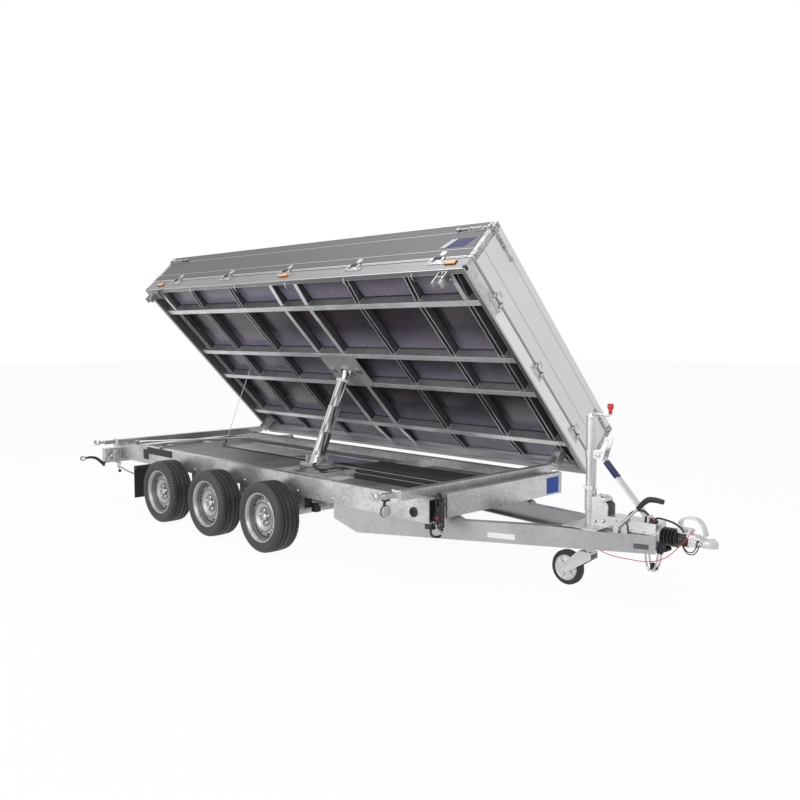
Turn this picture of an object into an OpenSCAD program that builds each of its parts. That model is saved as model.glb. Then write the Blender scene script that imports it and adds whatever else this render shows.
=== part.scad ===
// Three-axle three-way tipping trailer, stored with its bed tipped to the left.
// Millimetres, +Z up, +X to the coupling, +Y to the left side.

/* [Wheels] */
// Tyre outside diameter
tyre_d = 525; // [480:1:560]
// Tyre width
tyre_w = 195; // [155:1:215]
// Distance from the centre line to the middle of a tyre
wheel_y = 862; // [850:1:900]
// Distance from one axle to the next
axle_gap = 725; // [640:1:760]
// How far the axle tube lies ahead of its wheels
axle_lead = 112; // [90:1:115]

/* [Chassis] */
// Distance from the centre line to a side rail's outer face
rail_y = 700; // [690:1:710]
// Underside of the side rails
rail_z = 410; // [405:1:415]
// Height of a side rail
rail_h = 157; // [140:1:170]
// Front end of the side rails
rail_front = 2195; // [2150:1:2230]
// Rear end of the side rails
rail_back = -1880; // [-1900:1:-1840]
// Width of a rail's flange
rail_flange = 60; // [40:1:80]
// Rail wall
rail_wall = 5; // [4:1:8]
// Near end of the front cross beam, right of the centre line
front_beam_y = 529; // [480:1:560]

/* [Tipping balls] */
// Front tipping balls, ahead of the middle axle
ball_front = 2040; // [2000:1:2080]
// Rear tipping balls, ahead of the middle axle
ball_back = -1700; // [-1740:1:-1660]
// How far the left balls lie in from the bed's edge
ball_in = 190; // [185:1:195]
// How far the right balls lie in from the bed's edge
ball_right_in = 32; // [30:1:34]
// Height of the balls
ball_z = 600; // [596:1:604]
// Ball diameter
ball_d = 50; // [46:1:54]
// Width of the square tube that carries the balls
beam_w = 60; // [50:1:70]

/* [Drawbar] */
// Front end of the drawbar arms
arm_front = 3404; // [3300:1:3450]
// Rear end of the drawbar arms
arm_back = 1262; // [1250:1:1300]
// Half width over the arms at their front end
arm_tip_y = 56; // [50:1:70]
// Half width over the arms at their rear end
arm_root_y = 690; // [680:1:694]
// Wall of an arm
arm_wall = 6; // [5:1:10]
// Width of an arm's flange
arm_flange = 62; // [50:1:75]
// Front face of the coupling head
nose_x = 3755; // [3720:1:3800]
// Jockey column, ahead of the middle axle
column_x = 2924; // [2890:1:2950]
// Top of the jockey column
column_top = 1096; // [1050:1:1130]
// Jockey wheel diameter
jockey_d = 225; // [200:1:230]

/* [Bed] */
// Rear end of the bed
bed_back = -1875; // [-1900:1:-1860]
// Front end of the bed
bed_front = 2215; // [2200:1:2240]
// Width of the bed
bed_w = 2084; // [2060:2:2110]
// Underside of the edge frame, bed flat
rave_z = 690; // [686:1:694]
// Height of the edge frame
rave_h = 120; // [115:1:124]
// Width of the edge frame
rave_w = 35; // [30:1:45]
// Height of a board
board_h = 350; // [300:1:380]
// Thickness of a board
board_t = 25; // [20:1:30]
// Floor thickness
floor_t = 18; // [12:1:22]
// Tilt of the bed as stored
tilt = 45.7; // [40:0.1:47]

/* [Ram] */
// Ram, ahead of the middle axle
ram_x = 235; // [225:1:240]
// Height of the ram's swing pins
ram_z = 545; // [540:1:550]
// Height of the ram's top ball, bed flat
ram_top = 708; // [705:1:711]
// Outside diameter of the barrel
barrel_d = 116; // [112:1:118]

/* [Hidden] */
bed_y = bed_w/2;
ball_y = bed_y - ball_in;
ball_right = bed_y - ball_right_in;
// Rim flange diameter, and its share of the size the section below is drawn for
rim_d = tyre_d*0.6952;
rim_k = rim_d/365;
hub_z = tyre_d/2;
rave_top = rave_z + rave_h;
board_z = rave_top + 6;
hinge_z = rave_top + 4;
hinge_out = 9;
rail_top = rail_z + rail_h;
half_gap = 0.3;
bar_back = rail_back - 70;
lamp_out = 1085;
// Row origin: middle of the whole trailer's box, on the ground
shift_x = -(nose_x + bar_back)/2;
shift_y = -(ball_y + (bed_y - ball_y)*cos(tilt) + (board_z + board_h - ball_z)*sin(tilt) - lamp_out)/2;
arm_run = arm_front - arm_back;
arm_turn = atan((arm_root_y - arm_tip_y)/arm_run);
arm_len = arm_run/cos(arm_turn);
// Pin centre of the ram's top, relative to its foot, in the stored tilt
ram_dy = -ball_y*cos(tilt) + (ram_top - ball_z)*sin(tilt) + ball_y;
ram_dz = ball_y*sin(tilt) + (ram_top - ball_z)*cos(tilt) + ball_z - ram_z;
ram_len = sqrt(ram_dy*ram_dy + ram_dz*ram_dz);
ram_lean = atan(ram_dy/ram_dz);
ram_flat = ram_top - ram_z;
ram_step = (ram_len - ram_flat)/3;
wheel_xs = [axle_gap, 0, -axle_gap];

steel = [0.72, 0.73, 0.74];
silver = [0.80, 0.81, 0.82];
dark = [0.12, 0.12, 0.13];
brown = [0.20, 0.16, 0.19];
orange = [0.95, 0.50, 0.10];

module tipped() {
    translate([0, ball_y, ball_z]) rotate([-tilt, 0, 0]) translate([0, -ball_y, -ball_z]) children();
}

module both() {
    children();
    mirror([0, 1, 0]) children();
}

module bar_x(x0, x1, y0, y1, z0, z1) {
    translate([x0, y0, z0]) cube([x1 - x0, y1 - y0, z1 - z0]);
}

// The ram's own frame: foot pin at the origin, +Z along the ram as it leans
module on_ram() {
    translate([ram_x, 0, ram_z]) rotate([-ram_lean, 0, 0]) children();
}

module side_rails() {
    color(steel) difference() {
        both() difference() {
            bar_x(rail_back, rail_front, rail_y - rail_flange, rail_y, rail_z, rail_top);
            bar_x(rail_back - 1, rail_front + 1, rail_y - rail_flange - 1, rail_y - rail_wall,
                rail_z + rail_wall, rail_top - rail_wall);
        }
        // the front beam caps the left rail
        bar_x(rail_front - 45 - half_gap, rail_front + 1, 0, 900, rail_z - 1, rail_top + 1);
        for (x = [ball_front, ball_back])
            bar_x(x - beam_w/2 - half_gap, x + beam_w/2 + half_gap, -900, 900,
                ball_z + 15 - beam_w - half_gap, 700);
    }
}

// x and width of each cross member between the rails
col_x = 0;
col_w = 1;
cross_table = [
    [-1840, 50],
    [-1210, 50],
    [-480, 50],
    [105, 40],
    [365, 40],
    [1150, 50],
    [1900, 50],
];
inner_z = rail_z + 55;
deck_z = inner_z + 35 + half_gap;

module cross_members() {
    in_y = rail_y - rail_wall - half_gap;
    color(steel) {
        bar_x(rail_front - 45, rail_front, -front_beam_y, rail_y + 40, rail_z + 12, rail_top + 12);
        for (c = cross_table)
            bar_x(c[col_x] - c[col_w]/2, c[col_x] + c[col_w]/2, -in_y, in_y, rail_z + 20, inner_z - half_gap);
        // near end of the front beam carried back to the rail
        bar_x(rail_front - 111, rail_front - 44, -front_beam_y, -front_beam_y + 6, 440, 545);
        bar_x(rail_front - 111, rail_front - 105.3, -in_y, -front_beam_y + 6, 440, 545);
    }
}

module inner_rails() {
    color(steel) both() bar_x(-1840, rail_front - 45 - half_gap, 175, 225, inner_z, deck_z - half_gap);
}

module pivot_beams() {
    top = ball_z + 15;
    color(steel) for (x = [ball_front, ball_back]) {
        difference() {
            bar_x(x - beam_w/2, x + beam_w/2, -ball_right + 170, ball_y - 52, top - beam_w, top);
            bar_x(x - beam_w/2 + 4, x + beam_w/2 - 4, -ball_right + 180, ball_y - 62, top - beam_w + 4, top - 4);
        }
        // the right balls stand further out, on a smaller bar
        bar_x(x - 20, x + 20, -ball_right + 58, -ball_right + 171, ball_z - 20, ball_z + 14);
        for (y = [ball_y - 53, -ball_right + 3])
            translate([x, y, ball_z]) rotate([-90, 0, 0]) cylinder(d = 28, h = 56 - (y > 0 ? 6 : 0), $fn = 40);
        for (y = [ball_y, -ball_right]) translate([x, y, ball_z]) sphere(d = ball_d, $fn = 40);
    }
}

// Side view of an arm: share of its length from the coupling end, height over the rails' underside
arm_side = [[0, 19], [0, -90], [0.915, -188], [1, -105], [1, -half_gap], [0.571, -half_gap], [0.555, -20],
    [0.29, 8], [0.13, 8]];
seat_z = rail_z + 8 + half_gap;

module arm_solid(t0, t1) {
    translate([0, t1, 0]) rotate([90, 0, 0]) linear_extrude(t1 - t0)
        polygon([for (p = arm_side) [-p[0]*arm_len, rail_z + p[1]]]);
}

module drawbar_arms() {
    color(steel) difference() {
        both() translate([arm_front, arm_tip_y, 0]) rotate([0, 0, -arm_turn]) difference() {
            arm_solid(-arm_flange, 0);
            intersection() {
                translate([0, 0, arm_wall]) arm_solid(-arm_flange - 1, -arm_wall);
                translate([0, 0, -arm_wall]) arm_solid(-arm_flange - 1, -arm_wall);
            }
        }
        // room for the coupling housing between the arms
        translate([arm_front - 340, -50, 200]) cube([400, 100, 300]);
    }
}

module drawbar_plates() {
    color(silver) {
        // seat of the column between the arms
        translate([column_x, 0, 0]) {
            difference() {
                union() {
                    translate([-90, -170, seat_z]) cube([240, 340, 8]);
                    translate([-60, -100, 330]) cube([120, 200, 8]);
                    for (s = [-1, 1]) translate([-60, s*92 - 4, 337]) cube([120, 8, seat_z - 336]);
                }
                translate([0, 0, 300]) cylinder(d = 64.6, h = 200, $fn = 48);
            }
            // gusset ahead of the column
            both() translate([0, 46, 0]) rotate([90, 0, 0]) linear_extrude(8)
                polygon([[36, seat_z + 7], [36, 600], [95, 612], [150, 560], [150, seat_z + 7]]);
            translate([36, -46, seat_z + 7]) cube([8, 92, 168]);
        }
    }
}

module coupling_housing() {
    color(silver) difference() {
        union() {
            translate([arm_front - 322, -62, rail_z + 19.3]) cube([324, 124, 70]);
            translate([arm_front - 322, -49.7, 350]) cube([322, 99.4, 80]);
            translate([arm_front - 20, 0, 426]) rotate([0, 90, 0]) cylinder(d = 92, h = 34, $fn = 48);
        }
        translate([arm_front - 340, 0, 426]) rotate([0, 90, 0]) cylinder(d = 58, h = 380, $fn = 40);
    }
}

module coupling_bellows() {
    pitch = 21;
    color(dark) translate([arm_front + 14.3, 0, 426]) rotate([0, 90, 0]) rotate_extrude($fn = 48)
        polygon(concat([[29, 0], [29, pitch*8]],
            [for (i = [8:-1:1]) each [[42, pitch*i - 4], [56, pitch*(i - 0.5)]]],
            [[42, 0]]));
}

module coupling_head() {
    color(silver) {
        difference() {
            union() {
                translate([arm_front - 300, 0, 426]) rotate([0, 90, 0]) cylinder(d = 57.4, h = 520, $fn = 40);
                translate([arm_front + 196, -42, 396]) cube([nose_x - arm_front - 291, 84, 62]);
                translate([nose_x - 55, 0, 406]) cylinder(d = 110, h = 50, $fn = 48);
                translate([nose_x - 95, -45, 406]) cube([60, 90, 50]);
            }
            translate([nose_x - 55, 0, 418]) sphere(d = 50.6, $fn = 40);
            translate([nose_x - 55, 0, 400]) cylinder(d = 50.6, h = 18, $fn = 40);
        }
        // handle
        translate([nose_x - 100, 0, 440]) rotate([0, -12, 0]) {
            translate([-12, -20, 0]) cube([24, 40, 70]);
            translate([-70, -14, 64]) cube([140, 28, 26]);
        }
    }
}

module handbrake_lever() {
    color(dark) {
        translate([arm_front, -78, 0]) rotate([90, 0, 0]) linear_extrude(16)
            polygon([[-272, 452], [-244, 440], [-46, 586], [50, 618], [46, 646], [-60, 616], [-262, 476]]);
        translate([arm_front - 250, -79, 462]) rotate([-90, 0, 0]) cylinder(d = 30, h = 16.7, $fn = 30);
    }
}

module jockey_column() {
    color(silver) difference() {
        translate([column_x, 0, 307]) cylinder(d = 64, h = column_top - 307, $fn = 48);
        translate([column_x, 0, 300]) cylinder(d = 52.6, h = column_top - 320, $fn = 40);
    }
}

module column_brace() {
    rise = 861 - 503;
    run = 3322 - (column_x + 60);
    color(silver) {
        translate([column_x + 55.5, -26, 865]) rotate([0, atan(rise/run), 0])
            cube([sqrt(rise*rise + run*run) - 4, 52, 14]);
        translate([column_x + 32.3, -30, 845]) cube([36, 60, 34]);
        translate([3290, -34, 499.8]) cube([60, 68, 12]);
    }
}

module crank_handle() {
    color(steel) {
        translate([column_x, 0, column_top + half_gap]) cylinder(d = 46, h = 26, $fn = 36);
        translate([column_x - 20, -9, column_top + 20]) cube([160, 18, 12]);
        translate([column_x + 132, 0, column_top + 30]) cylinder(d = 14, h = 40, $fn = 24);
    }
    color([0.75, 0.08, 0.1]) translate([column_x + 132, 0, column_top + 34]) cylinder(d = 30, h = 52, $fn = 30);
}

module axles() {
    color(steel) for (x = wheel_xs) {
        translate([x + axle_lead, -rail_y + 40, hub_z + 37]) rotate([-90, 0, 0])
            cylinder(d = 76, h = 2*rail_y - 80, $fn = 40);
        both() {
            // trailing arm and stub
            translate([0, rail_y - 42, 0]) rotate([-90, 0, 0]) linear_extrude(34)
                polygon([for (p = [[-34, 32], [-34, -28], [axle_lead - 20, -75], [axle_lead + 36, -55],
                    [axle_lead + 36, -13], [30, 32]]) [x + p[0], p[1] - hub_z]]);
            translate([x, rail_y - 20, hub_z]) rotate([-90, 0, 0]) cylinder(d = 55.4, h = wheel_y - rail_y + 60, $fn = 40);
            // seat under the rail
            bar_x(x + axle_lead - 60, x + axle_lead + 70, rail_y - 58, rail_y - 44, hub_z + 37,
                rail_z - half_gap);
        }
    }
}

in_deck = rail_y - 66;
// Rear end, front end, right edge and left edge of each deck plate
deck_table = [
    [-1665, -160, -in_deck, in_deck],
    [-150, 340, -in_deck, 100],
    [-150, 820, 110, in_deck],
    [1000, 2005, -in_deck, in_deck],
];

module deck_plates() {
    color(silver) difference() {
        union() {
            for (d = deck_table) bar_x(d[0], d[1], d[2], d[3], deck_z, deck_z + 5.7);
        }
        translate([ram_x - 84, -130, deck_z - 10]) cube([168, 260, 40]);
    }
}

box_back = 993;
box_front = 1990;

module tool_box() {
    z0 = deck_z + 6;
    color(dark) {
        bar_x(box_back, box_front, -260, 60, z0, z0 + 42);
        bar_x(box_back + 8, box_front - 8, -246, 46, z0 + 41, z0 + 74);
        bar_x(box_back + 16, box_front - 16, -226, 26, z0 + 73, z0 + 102);
    }
}

module ram_cradle() {
    w = barrel_d/2 + 12;
    color(silver) difference() {
        union() {
            for (s = [-1, 1]) {
                translate([ram_x + s*w - 5, -60, 440]) cube([10, 120, 140]);
                translate([ram_x - w - 5, s*115 - 5, 470]) cube([2*w + 10, 10, 60]);
            }
            for (s = [-1, 1]) translate([ram_x + s*w - 5, -120, 470]) cube([10, 240, 60]);
            for (s = [-1, 1]) translate([ram_x + (s > 0 ? w : -w - 50), -40, 506.3]) cube([50, 80, 8]);
        }
        translate([ram_x - 120, 0, ram_z]) rotate([0, 90, 0]) cylinder(d = 31, h = 240, $fn = 30);
    }
}

module hydraulic_unit() {
    color(dark) {
        // block, pump and motor in the gap between the right rail and the front beam
        bar_x(rail_front - 105, rail_front - 45, -628, -545, 352, 545);
        translate([rail_front - 23, -565, 362]) cylinder(d = 46, h = 138, $fn = 36);
        translate([rail_front - 23, -612, 380]) cylinder(d = 36, h = 90, $fn = 36);
        bar_x(rail_front - 46, rail_front - 30, -620, -552, 400, 440);
        // pipe bent over from one to the other
        translate([rail_front - 23, -612, 460]) cylinder(d = 18, h = 101, $fn = 24);
        translate([rail_front - 23, -565, 490]) cylinder(d = 18, h = 71, $fn = 24);
        translate([rail_front - 23, -588.5, 560]) rotate([90, 0, 90]) rotate_extrude(angle = 180, $fn = 36)
            translate([23.5, 0]) circle(d = 18, $fn = 24);
    }
}

module mud_flaps() {
    color(dark) both() {
        bar_x(-1126, -1118, wheel_y - 97, wheel_y + 98, 160, 410);
        bar_x(-1119, -1082, rail_y + half_gap, wheel_y + 98, rail_z + 4, rail_z + 34);
        bar_x(-1126, -1118, rail_y + half_gap, wheel_y + 98, 409, rail_z + 34);
    }
}

bar_y = 852;

module rear_bar() {
    color(steel) difference() {
        bar_x(bar_back, rail_back - half_gap, -bar_y, bar_y, 378, 512);
        bar_x(bar_back - 1, rail_back - 5, -bar_y + 8, bar_y - 8, 386, 504);
    }
    color(dark) both() translate([bar_back + 6, bar_y - 240, 400]) cube([60, 220, 92]);
}

module marker_lamps() {
    color(dark) both() {
        translate([bar_back + 35, bar_y + 3.7, 394]) rotate([-75, 0, 0]) cylinder(d = 26, h = 186, $fn = 24);
        translate([bar_back + 13, lamp_out - 24, 436]) rotate([0, 90, 0]) cylinder(d = 48, h = 44, $fn = 30);
    }
}

// Where each board hinge starts, along its board
long_hinges = [bed_back + 443 : 833 : bed_front - 200];
end_hinges = [-700, -30, 640];

module bed_raves() {
    color(silver) tipped() {
        difference() {
            bar_x(bed_back, bed_front, -bed_y, bed_y, rave_z, rave_top);
            bar_x(bed_back + rave_w, bed_front - rave_w, -bed_y + rave_w, bed_y - rave_w, rave_z - 1, rave_top + 1);
        }
        // lower knuckles of the board hinges
        for (x = long_hinges, dx = [-20.3, 60.3]) both() translate([x + dx, bed_y + hinge_out, hinge_z])
            rotate([0, 90, 0]) {
                cylinder(d = 16, h = 20, $fn = 24);
                translate([3, -9.5, 0]) cube([35, 5, 20]);
            }
        for (y = end_hinges, dy = [-20.3, 60.3], s = [-1, 1])
            translate([s > 0 ? bed_front + hinge_out : bed_back - hinge_out, y + dy, hinge_z]) rotate([-90, 0, 0]) {
                cylinder(d = 16, h = 20, $fn = 24);
                translate([s > 0 ? -9.5 : 4.5, 3, 0]) cube([5, 50, 20]);
            }
    }
}

// x of each cross member under the floor
bed_cross = [-1700, -1220, -590, 0, 330, 950, 1585, 2040];
edge_beam = bed_y - 317;
beam_ys = [-edge_beam, -176, 176, edge_beam];

module bed_beams() {
    z0 = rave_top - floor_t - half_gap;
    in0 = bed_back + rave_w + half_gap;
    out_w = bed_y - rave_w - half_gap - (edge_beam + 24);
    color(steel) tipped() {
        for (y = beam_ys) bar_x(in0, bed_front - rave_w - half_gap, y - 25, y + 25, rave_z + 26, z0);
        for (x = bed_cross) {
            bar_x(x - 22, x + 22, -edge_beam, edge_beam, rave_z + 40, z0);
            both() translate([x - 20, edge_beam + 24, 0]) rotate([90, 0, 90]) linear_extrude(40)
                polygon([[0, rave_z + 42], [out_w, rave_z + 76], [out_w, z0], [0, z0]]);
        }
    }
}

module bed_floor() {
    color(brown) tipped()
        bar_x(bed_back + rave_w + half_gap, bed_front - rave_w - half_gap, -bed_y + rave_w + half_gap,
            bed_y - rave_w - half_gap, rave_top - floor_t, rave_top - 1);
}

module ball_brackets() {
    color(steel) tipped() for (x = [ball_front, ball_back]) {
        for (s = [-1, 1]) {
            translate([x + s*33 - 4, ball_y - 32, ball_z - 27]) cube([8, 64, 168]);
            translate([x + s*33 - 4, -ball_right - 26, ball_z - 27]) cube([8, 52, rave_z - half_gap - ball_z + 27]);
            // bosses that hold the balls from both sides
            for (y = [ball_y, -ball_right]) translate([x + s*(ball_d/2 + half_gap + 10) - 10, y, ball_z])
                rotate([0, 90, 0]) cylinder(d = 44, h = 20, $fn = 40);
        }
        translate([x - 37, ball_y - 32, rave_z + 18]) cube([74, 64, 33]);
        translate([x - 37, -ball_right - 26, rave_z - half_gap - 10]) cube([74, 70, 10]);
    }
}

module ram_plate() {
    color(steel) tipped() difference() {
        union() {
            bar_x(10, 460, -190, 190, rave_z + 18, rave_z + 26 - half_gap);
            translate([ram_x, 0, ram_top - 24]) cylinder(d = 120, h = 26, $fn = 40);
        }
        translate([ram_x, 0, ram_top - 60]) cylinder(d = 82, h = 120, $fn = 40);
    }
}

module corner_posts() {
    color(silver) tipped() for (x = [bed_back, bed_front - 40]) both()
        bar_x(x, x + 40, bed_y - 40, bed_y, rave_top + half_gap, board_z + board_h);
}

module side_lamps() {
    color(orange) tipped() for (x = [-1654, 275, 2063]) both()
        bar_x(x - 45, x + 45, bed_y + half_gap, bed_y + 11, rave_z + 53, rave_z + 83);
}

module long_board() {
    bar_x(bed_back + 46, bed_front - 46, bed_y - board_t, bed_y, board_z, board_z + board_h);
    for (x = long_hinges)
        translate([x, bed_y + hinge_out, hinge_z]) rotate([0, 90, 0]) {
            cylinder(d = 16, h = 60, $fn = 24);
            translate([-24, -9.3, 0]) cube([24, 5, 60]);
        }
}

module end_board(x, s) {
    half = bed_y - 46;
    bar_x(x - (s > 0 ? board_t : 0), x + (s > 0 ? 0 : board_t), -half, half, board_z, board_z + board_h);
    for (y = end_hinges)
        translate([x + s*hinge_out, y, hinge_z]) rotate([-90, 0, 0]) {
            cylinder(d = 16, h = 60, $fn = 24);
            translate([s > 0 ? -9.3 : 4.3, -24, 0]) cube([5, 24, 60]);
        }
}

module right_board() {
    color(silver) tipped() mirror([0, 1, 0]) long_board();
}

module left_board() {
    color(silver) tipped() long_board();
}

module front_board() {
    color(silver) tipped() end_board(bed_front, 1);
}

module tail_board() {
    color(silver) tipped() end_board(bed_back, -1);
}

module ram_barrel() {
    color(steel) on_ram() {
        difference() {
            translate([0, 0, -270]) cylinder(d = barrel_d, h = 292, $fn = 60);
            translate([0, 0, -255]) cylinder(d = barrel_d - 13, h = 300, $fn = 60);
        }
        for (s = [0, 180]) rotate([0, 0, s]) translate([barrel_d/2 - 3, 0, 0]) rotate([0, 90, 0])
            cylinder(d = 30, h = 26, $fn = 30);
    }
}

module ram_stage(top, od, bore, low, guide, n) {
    color(silver) on_ram() translate([0, 0, n*ram_step]) difference() {
        union() {
            translate([0, 0, low]) cylinder(d = od, h = top - low, $fn = 60);
            translate([0, 0, low]) cylinder(d = guide, h = 10, $fn = 60);
        }
        if (bore > 0) translate([0, 0, low - 1]) cylinder(d = bore, h = top - low + 2, $fn = 60);
    }
}

module ram_stage_1() { ram_stage(30, 96, 89, -222, barrel_d - 13.6, 1); }

module ram_stage_2() { ram_stage(42, 84, 77, -222, 88.4, 2); }

module ram_stage_3() {
    ram_stage(56, 72, 0, -222, 76.4, 3);
    color(silver) on_ram() translate([0, 0, 3*ram_step]) {
        translate([0, 0, 55]) cylinder(d = 84, h = 16, $fn = 50);
        translate([0, 0, 70]) cylinder(d = 46, h = ram_flat - 75, $fn = 40);
        translate([0, 0, ram_flat]) sphere(d = 62, $fn = 40);
    }
}

// Section of a tyre: share of the height of its wall, share of its width
tyre_cut = [[0, 0.43], [0.15, 0.49], [0.5, 0.5], [0.84, 0.46], [1, 0.38], [1, -0.38], [0.84, -0.46],
    [0.5, -0.5], [0.15, -0.49], [0, -0.43]];

module at_wheel(x, s) {
    translate([x, s*wheel_y, hub_z]) rotate([-90*s, 0, 0]) children();
}

module tyre(x, s) {
    r0 = rim_d/2 + half_gap;
    color(dark) at_wheel(x, s) rotate_extrude($fn = 72)
        polygon([for (p = tyre_cut) [r0 + p[0]*(tyre_d/2 - r0), p[1]*tyre_w]]);
}

// Section of a rim: radius less the flange's, distance out from its middle; then the dish in from the drum
rim_drum = [[0, 86], [0, -86], [-6, -86], [-6, -80], [-18, -70], [-18, 20]];
rim_dish = [[150, 20], [124, 28], [108, 32], [64, 16], [62, -40], [28, -40], [28, 26], [62, 30], [108, 46],
    [124, 42], [150, 34]];
rim_lip = [[-18, 34], [-18, 64], [-6, 80], [-6, 86]];

module rim(x, s) {
    r = rim_d/2;
    color(silver) at_wheel(x, s) difference() {
        rotate_extrude($fn = 72) polygon(concat([for (p = rim_drum) [r + p[0], p[1]]],
            [for (p = rim_dish) [p[0]*(p[0] > 30 ? rim_k : 1), p[1]]], [for (p = rim_lip) [r + p[0], p[1]]]));
        for (i = [0:9]) rotate([0, 0, i*36]) translate([130*rim_k, 0, 10]) cylinder(d = 20, h = 60, $fn = 16);
    }
}

module tyre_front_right() { tyre(axle_gap, -1); }
module tyre_front_left() { tyre(axle_gap, 1); }
module tyre_middle_right() { tyre(0, -1); }
module tyre_middle_left() { tyre(0, 1); }
module tyre_rear_right() { tyre(-axle_gap, -1); }
module tyre_rear_left() { tyre(-axle_gap, 1); }
module rim_front_right() { rim(axle_gap, -1); }
module rim_front_left() { rim(axle_gap, 1); }
module rim_middle_right() { rim(0, -1); }
module rim_middle_left() { rim(0, 1); }
module rim_rear_right() { rim(-axle_gap, -1); }
module rim_rear_left() { rim(-axle_gap, 1); }

module jockey_leg() {
    color(steel) translate([column_x, 0, 262]) cylinder(d = 52, h = 560, $fn = 40);
}

module jockey_fork() {
    r = jockey_d/2;
    color(steel) {
        translate([column_x, 0, 240]) cylinder(d = 60, h = 21.7, $fn = 40);
        translate([column_x - 60, -42, 232]) cube([92, 84, 10]);
        both() translate([column_x, 42, 0]) rotate([90, 0, 0]) linear_extrude(6)
            polygon([[32, 241], [32, 200], [-140, r - 24], [-180, r - 20], [-180, r + 20], [-60, 241]]);
        translate([column_x - 160, -43, r]) rotate([-90, 0, 0]) cylinder(d = 18, h = 86, $fn = 24);
    }
}

module jockey_wheel() {
    r = jockey_d/2;
    color(dark) translate([column_x - 160, 0, r]) rotate([-90, 0, 0]) rotate_extrude($fn = 60)
        polygon([[9.4, -24], [26, -24], [26, -8], [r - 36, -8], [r - 32, -26], [r - 8, -26], [r, -14], [r, 14],
            [r - 8, 26], [r - 32, 26], [r - 36, 8], [26, 8], [26, 24], [9.4, 24]]);
}

module place() {
    translate([shift_x, shift_y, 0]) children();
}

place() side_rails();
place() cross_members();
place() inner_rails();
place() pivot_beams();
place() drawbar_arms();
place() drawbar_plates();
place() coupling_housing();
place() coupling_bellows();
place() coupling_head();
place() handbrake_lever();
place() jockey_column();
place() column_brace();
place() crank_handle();
place() axles();
place() deck_plates();
place() tool_box();
place() ram_cradle();
place() hydraulic_unit();
place() mud_flaps();
place() rear_bar();
place() marker_lamps();
place() bed_raves();
place() bed_beams();
place() bed_floor();
place() ball_brackets();
place() ram_plate();
place() corner_posts();
place() side_lamps();
place() right_board();
place() left_board();
place() front_board();
place() tail_board();
place() ram_barrel();
place() ram_stage_1();
place() ram_stage_2();
place() ram_stage_3();
place() tyre_front_right();
place() tyre_front_left();
place() tyre_middle_right();
place() tyre_middle_left();
place() tyre_rear_right();
place() tyre_rear_left();
place() rim_front_right();
place() rim_front_left();
place() rim_middle_right();
place() rim_middle_left();
place() rim_rear_right();
place() rim_rear_left();
place() jockey_leg();
place() jockey_fork();
place() jockey_wheel();
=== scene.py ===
import math

import bmesh
import bpy
import numpy as np
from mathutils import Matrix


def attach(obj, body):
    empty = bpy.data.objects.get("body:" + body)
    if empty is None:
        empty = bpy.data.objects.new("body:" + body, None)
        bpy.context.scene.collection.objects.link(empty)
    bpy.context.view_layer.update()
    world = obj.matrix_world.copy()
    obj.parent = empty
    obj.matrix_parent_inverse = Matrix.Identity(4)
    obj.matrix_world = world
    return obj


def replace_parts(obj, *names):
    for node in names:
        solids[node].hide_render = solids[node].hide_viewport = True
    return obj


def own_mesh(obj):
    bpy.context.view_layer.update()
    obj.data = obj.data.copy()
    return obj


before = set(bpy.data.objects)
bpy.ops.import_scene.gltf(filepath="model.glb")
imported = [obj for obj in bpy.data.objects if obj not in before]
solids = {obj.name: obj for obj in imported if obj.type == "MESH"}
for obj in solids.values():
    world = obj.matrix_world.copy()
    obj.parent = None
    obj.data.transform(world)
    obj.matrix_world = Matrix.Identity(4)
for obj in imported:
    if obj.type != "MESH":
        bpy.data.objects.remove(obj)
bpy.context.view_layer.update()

# Studio: a white paper floor and white air, broad soft lamps and the camera at the photograph's
# place. White of strength 1 shows to the camera and in gloss; the metal is lit by the lamps.


def seen_white(tree, lit, share, out):
    """Camera, glossy and transmission rays get that share of white of strength 1, all other rays the lit shader alone."""
    path = tree.nodes.new("ShaderNodeLightPath")
    kinds = []
    for _ in range(2):
        kinds.append(tree.nodes.new("ShaderNodeMath")); kinds[-1].operation = "MAXIMUM"
    tree.links.new(path.outputs["Is Camera Ray"], kinds[0].inputs[0])
    tree.links.new(path.outputs["Is Glossy Ray"], kinds[0].inputs[1])
    tree.links.new(kinds[0].outputs[0], kinds[1].inputs[0])
    tree.links.new(path.outputs["Is Transmission Ray"], kinds[1].inputs[1])
    part = tree.nodes.new("ShaderNodeMath"); part.operation = "MULTIPLY"; part.inputs[1].default_value = share
    tree.links.new(kinds[1].outputs[0], part.inputs[0])
    white = tree.nodes.new("ShaderNodeEmission" if out.node.type == "OUTPUT_MATERIAL" else "ShaderNodeBackground")
    white.inputs[0].default_value = (1, 1, 1, 1); white.inputs[1].default_value = 1.0
    mix = tree.nodes.new("ShaderNodeMixShader")
    tree.links.new(part.outputs[0], mix.inputs[0])
    tree.links.new(lit.outputs[0], mix.inputs[1]); tree.links.new(white.outputs[0], mix.inputs[2])
    tree.links.new(mix.outputs[0], out)


world = bpy.data.worlds.new("air"); bpy.context.scene.world = world
world.use_nodes = True
air = world.node_tree; air.nodes.clear()
dim = air.nodes.new("ShaderNodeBackground"); dim.inputs[0].default_value = (0.93, 0.95, 1.0, 1); dim.inputs[1].default_value = 0.42
seen_white(air, dim, 1.0, air.nodes.new("ShaderNodeOutputWorld").inputs[0])

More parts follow.
